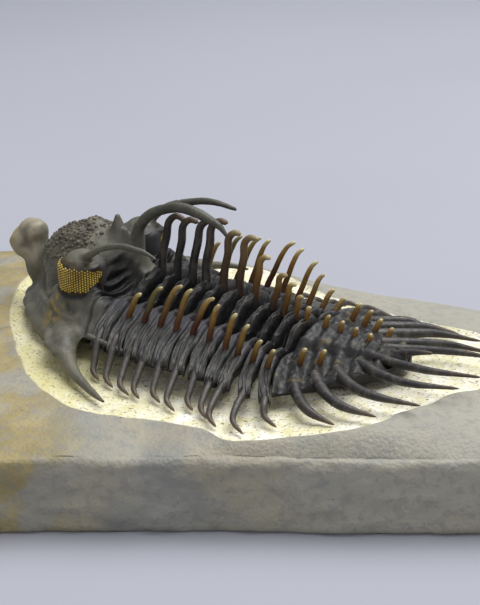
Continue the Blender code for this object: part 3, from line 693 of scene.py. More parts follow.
def segment_body(number):
    half = 0.5 * (PITCH if number < SHORT_FROM else SHORT_PITCH) - 0.05
    stations = np.linspace(-1, 1, 261)
    s = np.sin(stations * math.pi / 2 * 0.995) * 0.35 + stations * 0.65
    w, across = np.meshgrid(s * HALF_WIDTH, np.linspace(-1, 1, 31), indexing="ij")
    shape = w.shape
    tatter = noise(stacked(across * 3, w * 0.1, number), 0.7, 31).reshape(shape)
    end = ease_in((np.abs(w) - 10.5) / 3.5)
    w_here = w * (1 + (END_SHARE[number - 1] - 1 + 0.045 * tatter) * end)
    x = segment_x(number) + sway(w) + rear_sweep(w, EDGE_SWEEP[number - 1]) + across * half
    plain = body_profile(w, number)
    fine = fibres(w, across, half, number)
    smooth_band = np.exp(-((np.abs(w) - 7.6) / 1.5) ** 4)
    matted = 1.0 + 1.6 * (1 - ease_in((np.abs(w) - 5.2) / 1.2)) - 0.75 * smooth_band
    crumbs = noise(stacked(x, w_here, number), 0.55, 38).reshape(shape)
    raised = segment_relief(number, w, across) + 0.13 * fine * matted
    raised += 0.3 * crumbs * (1 - ease_in((np.abs(w) - 4.6) / 1.2))
    closing = np.sqrt(np.clip(1 - ((np.abs(w) - 13.5) / 0.5).clip(0, 1) ** 2, 0.02, 1))
    resting = mound_height(x) + RESTS_ABOVE
    share = ease_in((np.abs(w) - 9.6) / 3.0)
    under = np.minimum(resting * (1 - share) + (plain - 1.1) * share, plain - 0.6)
    top_z = np.maximum(plain + raised, under + 0.15)
    middle = 0.5 * (top_z + under)
    top = np.stack((x, w_here, middle + (top_z - middle) * closing), -1)
    bottom = np.stack((x, w_here, middle + (under - middle) * closing), -1)
    loops = np.concatenate((top, bottom[:, ::-1]), axis=1)
    mesh = ring_body(f"segment_{number:02d}", loops)
    # Painted shade: near black by depth in the gaps and furrows, and fully on each segment's underside
    deep = ease_in((-raised - 0.05) / 0.6)
    sheen = smooth_band * ease_in(raised / 0.2 + 0.6)
    thread = ease_in(fine / 0.7 - 0.1) * (1 - 0.8 * deep) * (1 - 0.6 * smooth_band)
    blotch = ease_in(noise(stacked(x, w * 0.3, 0), 1.1, 37) * 2 - 0.3).reshape(shape)
    olive = 0.5 * ease_in((np.abs(w) - 11.0) / 2.5) * blotch
    for label, above, below in (("hollow_shade", deep, 1.0), ("sheen", sheen, 0.0), ("thread", thread, 0.0),
                                ("olive", olive, 0.0)):
        paint(mesh, label, np.concatenate((above, 0 * deep + below), axis=1).ravel())
    return mesh


segment_meshes = [segment_body(number) for number in range(1, SEGMENTS + 1)]
print("segments:", len(segment_meshes), "with", len(segment_meshes[0].polygons), "faces each")

# %% [markdown]
# ## The spines
# Every spine is the same kind of thing: a curve with a thickness that swells at the root and ends in a
# blunt tip. A Geometry Nodes tree sweeps a circle along such curves, keeps how far along each point is,
# and makes the surface a little uneven. The curves come from tables. A tree suits this because the same
# rule serves some eighty spines, and its inputs can be changed without touching the curves.


# %% How each Geometry Nodes tree starts and ends
def geometry_tree(name, source, result, **settings):
    """A tree with named inputs, a finish and one result; returns it and its inputs."""
    tree = bpy.data.node_groups.new(name, "GeometryNodeTree")
    tree.interface.new_socket(source, in_out="INPUT", socket_type="NodeSocketGeometry")
    for label, value in settings.items():
        kind = "NodeSocketInt" if isinstance(value, int) else "NodeSocketFloat"
        tree.interface.new_socket(label, in_out="INPUT", socket_type=kind).default_value = value
    tree.interface.new_socket("Finish", in_out="INPUT", socket_type="NodeSocketMaterial")
    tree.interface.new_socket(result, in_out="OUTPUT", socket_type="NodeSocketGeometry")
    return tree, tree.nodes.new("NodeGroupInput").outputs


def close_tree(tree, given, geometry):
    """Make a tree's instances real, smooth them, give them their finish and hand them out."""
    real = node(tree, "GeometryNodeRealizeInstances", {"Geometry": geometry})
    smoothed = node(tree, "GeometryNodeSetShadeSmooth", {"Geometry": real.outputs[0]})
    finished = node(tree, "GeometryNodeSetMaterial",
                    {"Geometry": smoothed.outputs[0], "Material": given["Finish"]})
    tree.links.new(finished.outputs[0], tree.nodes.new("NodeGroupOutput").inputs[0])
    print("tree:", tree.name, "with", len(tree.nodes), "nodes")


print("tree helpers ready")

# %% Geometry Nodes tree that turns curves into spines
spine_tree, given = geometry_tree("spines", "Curves", "Spines", Sides=12, Steps=36, Unevenness=0.00008,
                                  Lump=900.0, Amber=0.0, Seed=7)
evened = node(spine_tree, "GeometryNodeResampleCurve", {"Curve": given["Curves"], "Count": given["Steps"]})
share = node(spine_tree, "GeometryNodeSplineParameter").outputs["Factor"]
marked = node(spine_tree, "GeometryNodeStoreNamedAttribute",
              {"Geometry": evened.outputs[0], "Name": "along", "Value": share})
circle = node(spine_tree, "GeometryNodeCurvePrimitiveCircle", {"Resolution": given["Sides"], "Radius": 1.0})
thickness = node(spine_tree, "GeometryNodeInputRadius").outputs["Radius"]
swept = node(spine_tree, "GeometryNodeCurveToMesh",
             {"Curve": marked.outputs[0], "Profile Curve": circle.outputs[0], "Scale": thickness,
              "Fill Caps": True})
lumps = node(spine_tree, "ShaderNodeTexNoise", {"W": given["Seed"], "Scale": given["Lump"], "Detail": 2.0},
             noise_dimensions="4D")
centred = node(spine_tree, "ShaderNodeVectorMath", {0: lumps.outputs["Color"], 1: (0.5, 0.5, 0.5)},
               operation="SUBTRACT")
pushed = node(spine_tree, "ShaderNodeVectorMath", {0: centred.outputs[0], "Scale": given["Unevenness"]},
              operation="SCALE")
moved = node(spine_tree, "GeometryNodeSetPosition",
             {"Geometry": swept.outputs[0], "Offset": pushed.outputs[0]})
toned = node(spine_tree, "GeometryNodeStoreNamedAttribute",
             {"Geometry": moved.outputs[0], "Name": "amber_and_glow", "Value": given["Amber"]})
close_tree(spine_tree, given, toned.outputs[0])


# %% Curves with a thickness
SPINE_POINTS = 28
THINNEST = 0.17            # radius of a blunt tip


def drawn_out(knots, count=SPINE_POINTS):
    """Points along a smooth curve through knots of x, y, z and radius, with a flared root and a blunt tip."""
    knots = np.array(knots, dtype=float)
    extended = np.concatenate(([2 * knots[0] - knots[1]], knots, [2 * knots[-1] - knots[-2]]))
    at = np.linspace(0, len(knots) - 1 - 1e-9, count)
    index = at.astype(int)
    t = (at - index)[:, None]
    p0, p1, p2, p3 = (extended[index + shift] for shift in range(4))
    points = through(p0, p1, p2, p3, t)
    step = np.linalg.norm(np.diff(points[:, :3], axis=0), axis=1)
    left = np.concatenate((np.cumsum(step[::-1])[::-1], [0]))
    blunt = np.maximum(points[:, 3], THINNEST)
    dome = np.sqrt(np.clip(1 - (1 - np.clip(left / (1.2 * blunt), 0, 1)) ** 2, 0.03, 1))
    points[:, 3] = blunt * dome
    return points


def spline_object(name, spines):
    curve = bpy.data.curves.new(name, "CURVE")
    curve.dimensions = "3D"
    for spine in spines:
        spline = curve.splines.new("POLY")
        spline.points.add(len(spine) - 1)
        places = in_frame(spine[:, :3])
        spline.points.foreach_set("co", np.concatenate((places, np.ones((len(spine), 1))), axis=1).ravel())
        spline.points.foreach_set("radius", spine[:, 3] * MM)
    made = bpy.data.objects.new(name, curve)
    bpy.context.scene.collection.objects.link(made)
    return made


def grown(name, source, tree, **inputs):
    """Run a Geometry Nodes tree on an object and keep the result as a plain mesh."""
    modifier = source.modifiers.new("tree", "NODES")
    modifier.node_group = tree
    for item in tree.interface.items_tree:
        key = item.name.replace(" ", "_")
        if item.item_type == "SOCKET" and item.in_out == "INPUT" and key in inputs:
            modifier[item.identifier] = inputs[key]
    bpy.context.view_layer.update()
    graph = bpy.context.evaluated_depsgraph_get()
    mesh = bpy.data.meshes.new_from_object(source.evaluated_get(graph))
    mesh.name = name
    source.modifiers.remove(modifier)
    return mesh


def spine_mesh(name, spines, amber_and_glow, seed, sides=12):
    source = spline_object(name, [drawn_out(spine) for spine in spines])
    mesh = grown(name, source, spine_tree, Sides=sides, Amber=amber_and_glow, Seed=seed, Finish=spine_finish)
    bpy.data.objects.remove(source, do_unlink=True)
    return outward(mesh)


print("spine helpers ready")

# %% [markdown]
# Each thorax segment carries five spines: one on the axis that rises straight and curls back, one upright
# on each side lobe, and one hanging from each end that hooks back at the stone. The first six on the axis
# are dark, the later ones amber. The first segment has no upright pair.

# %% Spines of the thorax
# Each spine on the axis: height, how far it curls back, how far its shaft stands behind its root, droop
MEDIAN = ((7.1, 3.6, 0.0, 0.5), (7.25, 3.1, 0.0, 0.15), (7.7, 3.9, 0.0, 0.3), (7.85, 3.3, -0.45, 0.0),
          (6.8, 2.45, 0.0, 0.0), (6.7, 2.4, 0.0, 0.0), (5.0, 2.0, 0.1, 0.0), (3.8, 1.6, 0.6, 0.0),
          (3.4, 1.4, 0.4, 0.0), (2.4, 0.9, 0.2, 0.0), (1.6, 0.6, 0.0, 0.0))
# How amber each spine on the axis is, and how ruddy and how green each upright pair is
MEDIAN_AMBER = (0.0, 0.0, 0.0, 0.05, 0.3, 0.4, 0.75, 0.6, 0.8, 0.9, 0.9)
RUDDY = (0, 0.1, 0.8, 0.35, 0.3, 0.85, 0.45, 0.2, 0.1, 0.3, 0.2)
GREEN = (0, 0.2, 0.75, 0.3, 0.25, 0.1, 0.0, 0.1, 0.15, 0.3, 0.4)
# Each upright spine: height and how far its tip leans back
NEAR_UPRIGHT = ((0, 0), (3.5, 2.15), (4.95, 2.9), (5.7, 3.4), (5.5, 2.55), (5.15, 3.2), (4.8, 1.7),
                (4.7, 1.8), (4.2, 1.8), (3.0, 1.45), (2.5, 1.2))
FAR_UPRIGHT = ((0, 0), (4.1, 1.4), (5.8, 2.4), (6.2, 3.0), (6.1, 2.1), (6.5, 3.4), (6.2, 2.4),
               (5.4, 2.2), (4.3, 1.6), (2.6, 1.2), (1.7, 0.9))
NEAR_SPLAY, FAR_SPLAY = 0.4, 1.4       # how far the tips lean outward
# How far the hanging spines reach back, and out past the shell's edge
HANG_BACK = (1.9, 2.2, 2.7, 2.0, 2.3, 2.5, 1.8, 2.0, 2.3, 2.8, 2.9)
HANG_REACH = (2.0, 2.8, 3.5, 3.6, 3.3, 4.2, 3.1, 3.9, 5.0, 4.9, 2.3)


def segment_point(number, w):
    x = segment_x(number) + float(sway(w)) + float(rear_sweep(w, EDGE_SWEEP[number - 1]))
    return x, w, float(body_profile(w, number))


def median_spine(number):
    """A spine on the axis that rises straight and curls back at its tip."""
    x, _, z = segment_point(number, 0.0)
    h, back, shift, droop = MEDIAN[number - 1]
    thick = 0.27 + 0.03 * h
    knots = ((0.35 * shift, -0.6, 1.35), (0.6 * shift + 0.02 * h, 0.1 * h, 1.08),
             (shift + 0.05 * h, 0.35 * h, 1.0), (shift + 0.09 * h + 0.05 * back, 0.62 * h, 1.0),
             (shift + 0.32 * back, 0.87 * h, 0.92), (shift + 0.62 * back, h, 0.78),
             (shift + back, h - droop, 0.6))
    return [(x + behind, 0, z + up, wide * thick) for behind, up, wide in knots]


def upright_spine(base, height, back, side, splay):
    """A slender spine on a side lobe, leaning back and outward."""
    x, w, z = base
    knots = ((0.12, 0.15, 0.17, 0.36), (0.3, 0.35, 0.4, 0.34), (0.5, 0.55, 0.68, 0.32),
             (0.72, 0.78, 0.89, 0.27), (1.0, 1.0, 1.0, 0.2))
    return [(x, w, z - 0.4, 0.42)] + [(x + behind * back, w + side * out * splay, z + up * height, wide)
                                      for behind, out, up, wide in knots]


def hanging_spine(number, side):
    """A rib on the flank that leaves its lower edge as a spine and hooks back at the floor."""
    out_by = HANG_REACH[number - 1] * (1.0 if side < 0 else 0.6)
    back = HANG_BACK[number - 1]
    on_rib = [segment_point(number, side * w) for w in (10.8, 12.2, 13.4)]
    x, w, z = on_rib[-1]
    ground = float(floor_height(x + back))
    rib = [(px, pw, pz - sunk, wide) for (px, pw, pz), (sunk, wide)
           in zip(on_rib, ((0.5, 0.36), (0.38, 0.44), (0.45, 0.44)))]
    return rib + [(x + 0.2 * back, side * (13.3 + 0.6 * out_by), min(ground + 1.8, 0.8 * z), 0.39),
                  (x + 0.4 * back, side * (13.6 + 0.88 * out_by), min(ground + 1.0, 0.65 * z), 0.32),
                  (x + back, side * (13.9 + out_by), ground + 0.45, 0.13)]


def along_of(mesh):
    """How far along its spine each point of a mesh lies."""
    values = np.zeros(len(mesh.vertices))
    mesh.attributes["along"].data.foreach_get("value", values)
    return values


thorax_spines = []
for number in range(1, SEGMENTS + 1):
    meshes = [spine_mesh("median", [median_spine(number)], MEDIAN_AMBER[number - 1], number, 14),
              spine_mesh("hanging", [hanging_spine(number, side) for side in (-1, 1)], 0.0, 20 + number)]
    paint(meshes[1], "pale", 0.4 * ease_in((along_of(meshes[1]) - 0.25) / 0.3))
    if NEAR_UPRIGHT[number - 1][0]:
        near_base, far_base = segment_point(number, -FULCRUM), segment_point(number, FAR_FULCRUM)
        pair = [upright_spine(near_base, *NEAR_UPRIGHT[number - 1], -1, NEAR_SPLAY),
                upright_spine(far_base, *FAR_UPRIGHT[number - 1], 1, FAR_SPLAY)]
        uprights = spine_mesh("upright", pair, 1.0, 40 + number)
        along = along_of(uprights)
        paint(uprights, "ruddy", RUDDY[number - 1] * ease_in((0.75 - along) / 0.4))
        middle = ease_in((along - 0.1) / 0.5) * ease_in((1.0 - along) / 0.1)
        paint(uprights, "green", GREEN[number - 1] * middle)
        meshes.append(uprights)
    thorax_spines.append(meshes)
print("spines on the thorax:", sum(len(meshes) for meshes in thorax_spines) * 2 - SEGMENTS)


# %% Join each segment with its spines
def joined(name, meshes, finish):
    """One object from several meshes, with the finish given to those that have none."""
    items = []
    for mesh in meshes:
        if not mesh.materials:
            mesh.materials.append(finish)
        items.append(put_in_scene("part", mesh))
    with bpy.context.temp_override(active_object=items[0], selected_editable_objects=items):
        bpy.ops.object.join()
    items[0].name = name
    items[0].data.name = name
    return items[0]


thorax = []
for number, (body, spines) in enumerate(zip(segment_meshes, thorax_spines), 1):
    thorax.append(joined(f"thorax_hoop_{number:02d}", [body, *spines], shell))
print("thorax hoops:", len(thorax), "faces in the first:", len(thorax[0].data.polygons))

# %% [markdown]
# ## The tail shield
# The tail is a half-disc of fused segments: ribs run out and back from a short axis, and each ends in a
# long marginal spine. The shield is a sheaf of cross-sections like the thorax, with the ribs as a wave
# across it, and the same tree makes its spines.

# %% Body of the tail shield
TAIL_FRONT = segment_x(SEGMENTS) + 0.5 * (SHORT_PITCH - 0.3) + 0.3
TAIL_LENGTH = 11.4


def tail_point(u, s):
    """A point on the plain tail shield; u runs from its front to its rear, s from side to side."""
    share = 0.5 * (u + 1)
    w = s * (12.4 * (1 - share) ** 0.8 + 1.6 * share)
    x = TAIL_FRONT + TAIL_LENGTH * share + (sway(w) + rear_sweep(w, EDGE_SWEEP[-1])) * (1 - share)
    crest = 5.3 - 0.9 * share
    marks = (0.0, 0.22, 0.32, 0.6, 1.0)
    drops = (0 * share, 0 * share + 0.7, 1.5 - 0.5 * share, 1.9 - 0.8 * share, crest - 2.4 - 1.1 * share)
    fall = np.zeros(np.shape(w))
    for left, right, a, b in zip(marks, marks[1:], drops, drops[1:]):
        inside = (np.abs(s) >= left) & (np.abs(s) <= right)
        fall = np.where(inside, a + (b - a) * (np.abs(s) - left) / (right - left), fall)
    return x, w, crest - fall


u, s = np.meshgrid(np.linspace(-1, 1, 110), np.linspace(-1, 1, 151), indexing="ij")
x, w, plain = tail_point(u, s)
ribs = np.cos(2 * math.pi * (x - 0.35 * np.abs(w) - 19.4) / 2.28)
on_axis = 1 - ease_in((np.abs(s) - 0.24) / 0.08)
rings_on_axis = np.cos(2 * math.pi * (x - 20.6) / 1.7)
fine = 0.11 * rough(stacked(x * 2.0, w * 1.4, plain), 1.1, 61).reshape(x.shape)
raised = (1 - on_axis) * 0.26 * ribs + on_axis * 0.14 * rings_on_axis + fine
raised -= 0.3 * np.exp(-((np.abs(s) - 0.3) / 0.05) ** 2)
margin = np.maximum(ease_in((np.abs(s) - 0.93) / 0.07), ease_in((np.abs(u) - 0.96) / 0.04))
raised -= 0.35 * margin
resting = mound_height(x) + RESTS_ABOVE
thin = np.maximum(ease_in((np.abs(w) - 5.5) / 2.0), ease_in((u - 0.2) / 0.5))
under = resting + (np.maximum(resting, plain - 1.3) - resting) * thin
under = np.minimum(under, plain - 0.6)
top_z = np.maximum(plain + raised, under + 0.12)
top, bottom = np.stack((x, w, top_z), -1), np.stack((x, w, under), -1)
loops = np.concatenate((top, bottom[:, ::-1]), axis=1)
tail_mesh = ring_body("tail_body", loops)
# Painted shade: the tail's top is darkened evenly and more in its furrows, and its underside nearly black
deep = ease_in((0.0 - raised) / 0.45)
paint(tail_mesh, "hollow_shade", np.concatenate((0.55 + 0.4 * deep, 0 * deep + 0.95), axis=1).ravel())
specks = ease_in(noise(stacked(x, w, plain), 0.55, 64) * 2.4 - 0.9).reshape(x.shape)
paint(tail_mesh, "amber_and_glow", np.concatenate((0.5 * specks * (1 - deep), 0 * deep), axis=1).ravel())
print("tail faces:", len(tail_mesh.polygons))

# %% Spines of the tail
TAIL_SPINES = (
    ((22.4, 9.0, 2.4, 0.7), (24.2, 11.4, 2.0, 0.58), (26.6, 13.3, 1.7, 0.5), (29.5, 13.5, 1.1, 0.12)),
    ((24.0, 7.2, 2.7, 0.75), (26.4, 9.7, 2.4, 0.62), (29.4, 11.5, 2.3, 0.48), (33.4, 11.7, 2.2, 0.12)),
    ((25.6, 5.3, 2.9, 0.75), (28.5, 7.6, 2.8, 0.62), (32.0, 9.0, 3.0, 0.46), (37.1, 9.0, 3.2, 0.12)),
    ((27.4, 3.0, 3.2, 0.7), (30.6, 4.6, 3.3, 0.56), (34.4, 5.6, 3.6, 0.42), (39.7, 4.9, 4.0, 0.12)),
    ((28.6, 1.3, 3.5, 0.6), (32.0, 2.2, 3.8, 0.5), (36.0, 2.8, 4.2, 0.38), (41.2, 2.6, 4.7, 0.12)))
TAIL_MEDIAN = (1.5, 1.3, 1.0, 0.8)
TAIL_UPRIGHT = ((-0.62, 2.2), (-0.29, 2.1), (0.0, 1.7), (0.32, 1.4))
margin_spines = [[(a, side * b, c, d) for a, b, c, d in knots] for knots in TAIL_SPINES for side in (-1, 1)]
margin_spines.append([(29.6, 0.0, 3.7, 0.6), (32.8, 0.1, 4.5, 0.35), (34.6, 0.1, 4.8, 0.15)])
small_spines = []
for index, height in enumerate(TAIL_MEDIAN):
    a, _, c = (float(value) for value in tail_point(np.array(-0.75 + 0.32 * index), np.array(0.0)))
    small_spines.append([(a, 0, c - 0.4, 0.42), (a + 0.15 * height, 0, c + 0.6 * height, 0.3),
                         (a + 0.4 * height, 0, c + height, 0.18)])
for side in (-1, 1):
    for place_along, height in TAIL_UPRIGHT[:2] if side < 0 else TAIL_UPRIGHT:
        base = tuple(float(value) for value in tail_point(np.array(place_along), np.array(side * 0.62)))
        small_spines.append(upright_spine(base, height, 0.48 * height, side, NEAR_SPLAY))
tail_meshes = [tail_mesh, spine_mesh("margin", margin_spines, 0.0, 71),
               spine_mesh("small", small_spines, 0.9, 72)]
tail = joined("tail_shield", tail_meshes, shell)
print("tail shield faces:", len(tail.data.polygons))

# %% [markdown]
# ## The head
# The head shield grew as one piece, and its forms run into one another: domed cheeks, a swollen middle
# with a knob at the front, a rolled border, two eye mounds, flaps, cheek spines and the long spine that
# arches back from the neck. Such a body is easiest as one formula: the distance to each simple form,
# joined by a soft minimum, gives the fillets for free. A grid net finds where the formula is zero, and a
# few Newton steps pull the net's points onto the detailed surface.


# %% Simple forms and how they join
# Each form is its low corner, its high corner, its distance function and how softly it joins.
def ball(centre, radii, blend=0.8):
    centre, radii = np.array(centre, dtype=float), np.array(radii, dtype=float)

    def away(points):
        scaled = (points - centre) / radii
        length = np.linalg.norm(scaled, axis=1) + 1e-9
        return length * (length - 1) / (np.linalg.norm(scaled / radii, axis=1) + 1e-9)

    return centre - radii, centre + radii, away, blend


def limb(start, stop, blend=0.5):
    """A tapering rod between two points given as x, y, z and radius."""
    start, stop = np.array(start, dtype=float), np.array(stop, dtype=float)
    line = stop[:3] - start[:3]

    def away(points):
        share = np.clip((points - start[:3]) @ line / (line @ line), 0, 1)
        return (np.linalg.norm(points - start[:3] - share[:, None] * line, axis=1)
                - start[3] - share * (stop[3] - start[3]))

    wide = max(start[3], stop[3])
    return np.minimum(start[:3], stop[:3]) - wide, np.maximum(start[:3], stop[:3]) + wide, away, blend


def limbs(knots, blend):
    """A smooth curved rod through knots, as one form."""
    path = drawn_out(knots, 4 * len(knots))
    pieces = [limb(a, b) for a, b in zip(path, path[1:])]

    def away(points):
        nearest = pieces[0][2](points)
        for piece in pieces[1:]:
            nearest = np.minimum(nearest, piece[2](points))
        return nearest

    low_corner = np.min([piece[0] for piece in pieces], axis=0)
    return low_corner, np.max([piece[1] for piece in pieces], axis=0), away, blend


def added(distance, points, form, sign=1.0):
    """Join a form softly to a distance field, or cut it out where sign is -1."""
    low_corner, high_corner, away, blend = form
    near = np.all((points > low_corner - 1.6) & (points < high_corner + 1.6), axis=1)
    here, other = sign * distance[near], away(points[near])
    overlap = np.maximum(blend - np.abs(here - other), 0) / blend
    distance[near] = sign * (np.minimum(here, other) - overlap ** 2 * blend / 4)
    return distance


print("forms ready")

# %% The forms of the head
SHIELD_CENTRE = np.array((-3.5, 0.0, 0.5))
SHIELD_RADII = np.array((15.4, 12.4, 7.1))
SHIELD_TAPER = 0.34        # narrowing of the shield toward its front
HEAD_FLOOR = 0.5
HEAD_REAR = -1.15
RIB_PITCH = 1.15           # of the ribs in the hollow behind each eye
EYE_HUB = (-7.0, 6.3)


def rim_point(degrees):
    """A point on the rolled border, with its thickness; 0 degrees is the front."""
    forward = math.cos(math.radians(degrees))
    across = 12.0 * math.sin(math.radians(degrees)) * (1 - 0.32 * forward ** 2)
    return SHIELD_CENTRE[0] - 15.0 * forward, across, 1.7, 0.8


rim = [limb(rim_point(a), rim_point(a + 14), 0.6) for a in range(-70, 70, 14)]
middle_forms = [ball((-9.3, 0, 6.2), (7.3, 5.3, 5.9), 1.0), ball((-9.6, 0.2, 11.2), (1.5, 1.8, 1.4), 0.6),
                ball((-2.9, 0, 5.8), (1.6, 3.4, 1.8), 0.6),
                ball((-20.1, 0.1, 7.7), (2.0, 2.2, 2.1), 0.8), ball((-18.5, 0.1, 9.2), (1.4, 1.8, 1.65), 0.7),
                ball((-19.5, 0.2, 9.5), (1.3, 1.6, 1.15), 0.7), ball((-18.2, 0, 5.4), (1.8, 1.9, 3.2), 0.8),
                limb((-5.6, -0.5, 8.8, 2.3), (-5.9, -0.3, 13.5, 0.36), 0.8),
                limb((-4.3, -0.6, 9.0, 1.0), (-4.6, -0.7, 12.2, 0.25), 0.5)]
side_forms = []
for side, up in ((-1, 0.0), (1, 0.1)):
    side_forms += [ball((-7.2, side * 6.3, 4.9), (4.0, 3.3, 2.4), 0.9),
                   limb((-7.1, side * 6.3, 5.5, 2.1), (-7.0, side * 6.3, 8.7 + up, 2.4), 0.25),
                   limb((-5.2, side * 6.6, 7.0, 0.8), (-3.4, side * 8.6, 5.4, 1.1), 0.9),
                   ball((-6.3, side * 6.3, 9.6 + up), (2.3, 2.3, 0.5), 0.3),
                   limb((-8.3, side * 11.9, 2.6, 0.42), (-6.3, side * 14.4, 2.4, 0.42), 0.4),
                   limb((-6.3, side * 14.4, 2.4, 0.42), (-4.1, side * 15.5, 2.1, 0.5), 0.4),
                   limb((-7.1, side * 11.3, 2.8, 0.7), (-5.0, side * 13.8, 2.6, 0.75), 0.7)]
hollows = []
for side in (-1, 1):
    hollows += [ball((-2.5, side * 4.6, 8.5), (2.4, 3.3, 3.5), 0.4),
                ball((-12.0, side * 5.6, 6.0), (3.0, 0.8, 1.6), 0.6),
                ball((-7.3, side * 12.9, 4.1), (1.3, 1.4, 1.2), 0.4)]
NEAR_GENAL = ((-5.2, -12.4, 2.8, 1.3), (-3.9, -14.3, 2.1, 1.15), (-2.3, -16.0, 1.5, 0.92),
              (-1.0, -16.95, 1.3, 0.74), (0.4, -17.9, 1.2, 0.58), (2.7, -19.2, 1.0, 0.42),
              (4.5, -20.1, 0.9, 0.28), (5.9, -20.8, 0.9, 0.12))
FAR_GENAL = ((-5.4, 12.6, 2.6, 1.5), (-4.6, 15.0, 2.1, 1.0), (-3.6, 17.0, 1.7, 0.6), (-2.0, 17.3, 1.9, 0.42),
             (-0.4, 17.2, 2.2, 0.34), (1.2, 17.1, 2.3, 0.25), (2.6, 17.0, 2.3, 0.12))
NEAR_EYE_SPINE = ((-7.2, -6.0, 9.3, 0.8), (-6.0, -6.9, 10.4, 0.5), (-4.4, -7.9, 11.6, 0.42),
                  (-2.3, -8.5, 12.9, 0.37), (0.1, -8.5, 13.55, 0.34), (2.6, -8.5, 13.5, 0.3),
                  (4.0, -8.5, 13.2, 0.24), (4.9, -8.5, 12.8, 0.14))
FAR_EYE_SPINE = ((-7.2, 6.2, 9.6, 0.8), (-6.0, 7.2, 11.0, 0.6), (-4.2, 8.2, 12.5, 0.52),
                 (-1.5, 8.5, 13.4, 0.48), (1.0, 8.5, 14.0, 0.42), (3.2, 8.5, 14.0, 0.36),
                 (5.7, 8.5, 13.6, 0.18))
OCCIPITAL_SPINE = ((-3.0, 0, 7.2, 1.0), (-3.2, 0, 9.4, 0.82), (-3.2, 0, 11.2, 0.76), (-2.9, -0.1, 12.7, 0.7),
                   (-1.4, -0.3, 14.5, 0.64), (0.9, -0.6, 15.7, 0.6), (3.3, -0.9, 16.4, 0.6),
                   (5.6, -1.2, 16.3, 0.58), (7.5, -1.5, 15.9, 0.52), (9.1, -1.7, 15.3, 0.38),
                   (10.2, -1.9, 14.3, 0.16))
late_forms = [limbs(OCCIPITAL_SPINE, 0.9), limbs(NEAR_GENAL, 1.0), limbs(FAR_GENAL, 1.0),
              limbs(NEAR_EYE_SPINE, 0.6), limbs(FAR_EYE_SPINE, 0.6),
              limb((-1.6, -13.0, 3.9, 0.34), (3.3, -13.1, 3.1, 0.28), 0.3)]
print("forms in the head:", len(middle_forms) + len(side_forms) + len(rim) + len(late_forms))


# %% The formula of the head
def taper(x):
    """How much narrower the shield is at x, as a share of its full width."""
    return 1 - SHIELD_TAPER * np.clip((SHIELD_CENTRE[0] - x) / SHIELD_RADII[0], 0, 1) ** 2


def past_rear(x, y):
    """How far a point lies behind the head's bowed rear edge."""
    return x - HEAD_REAR - sway(np.minimum(np.abs(y), HALF_WIDTH))


def head_distance(points):
    """The formula: how far each point lies outside the head."""
    x, y, z = points.T
    narrowed = points / np.stack((1 + 0 * x, taper(x), 1 + 0 * x), axis=1)
    distance = ball(SHIELD_CENTRE, SHIELD_RADII)[2](narrowed) * 0.8
    for form in middle_forms[:3] + rim + middle_forms[3:] + side_forms:
        distance = added(distance, points, form)
    for form in hollows:
        distance = added(distance, points, form, -1.0)
    lifted = HEAD_FLOOR + 2.2 * ease_in((x + 6.5) / 3.0) * ease_in((np.abs(y) - 7.5) / 2.5)
    distance = np.maximum(distance, 0.8 * (lifted - z))
    distance = np.maximum(distance, past_rear(x, y))
    for form in late_forms:
        distance = added(distance, points, form)
    return distance


def head_relief(points):
    """How far the real surface stands above the joined forms."""
    x, y, z = points.T
    width = np.abs(y)
    crown_part = ease_in((x + 17.4) / 1.2) * ease_in((-6.6 - x) / 1.6) * ease_in((z - 6.2) / 1.8)
    crown_part *= np.exp(-(y / 5.0) ** 6)
    bumps = (0.15 * rough(points, 0.75, 81, 2) + 0.16 * rough(points, 1.7, 86, 2)) * crown_part
    bumps += 0.035 * rough(points, 1.4, 83)
    knob_part = ease_in((-x - 16.6) / 1.2) * ease_in((z - 5.0) / 1.5)
    bumps += knob_part * 0.22 * rough(points, 1.8, 88, 2)
    ellipse = np.hypot((x - SHIELD_CENTRE[0]) / SHIELD_RADII[0], width / (SHIELD_RADII[1] * taper(x)))
    low_part = (1 - ease_in((z - 5.2) / 1.2)) * ease_in((-x - 5.0) / 2.0) * ease_in((z - 1.5) / 1.0)
    border = 0.16 * np.exp(-((ellipse - 0.865) / 0.014) ** 2)
    border -= 0.24 * np.exp(-((ellipse - 0.825) / 0.022) ** 2)
    rear = past_rear(x, y)
    groove = -0.28 * np.exp(-((rear + 1.5) / 0.3) ** 2) * ease_in(width - 4.5) * ease_in(8.0 - z)
    groove *= ease_in((12.6 - width) / 1.5)
    groove -= 0.12 * np.exp(-((rear + 0.75) / 0.12) ** 2) * ease_in(width - 6.5) * ease_in(12.0 - width)
    cavity = np.exp(-(((x + 2.6) / 2.3) ** 4 + ((width - 4.8) / 3.0) ** 4 + ((z - 6.6) / 3.0) ** 4))
    ribs = 0.35 * np.cos(2 * math.pi * slant(points) / RIB_PITCH)
    return bumps + border * low_part + groove + cavity * ribs


def slant(points):
    """A coordinate across the slanting ribs in the hollow behind each eye."""
    x, y, z = points.T
    return x - 0.55 * z + 0.25 * np.abs(y) + 0.25 * noise(points, 1.3, 94)


middle_depth = -float(head_distance(np.array([[-9.3, 0.0, 6.2]]))[0])
print("depth of the crown's middle in the formula:", round(middle_depth, 1))


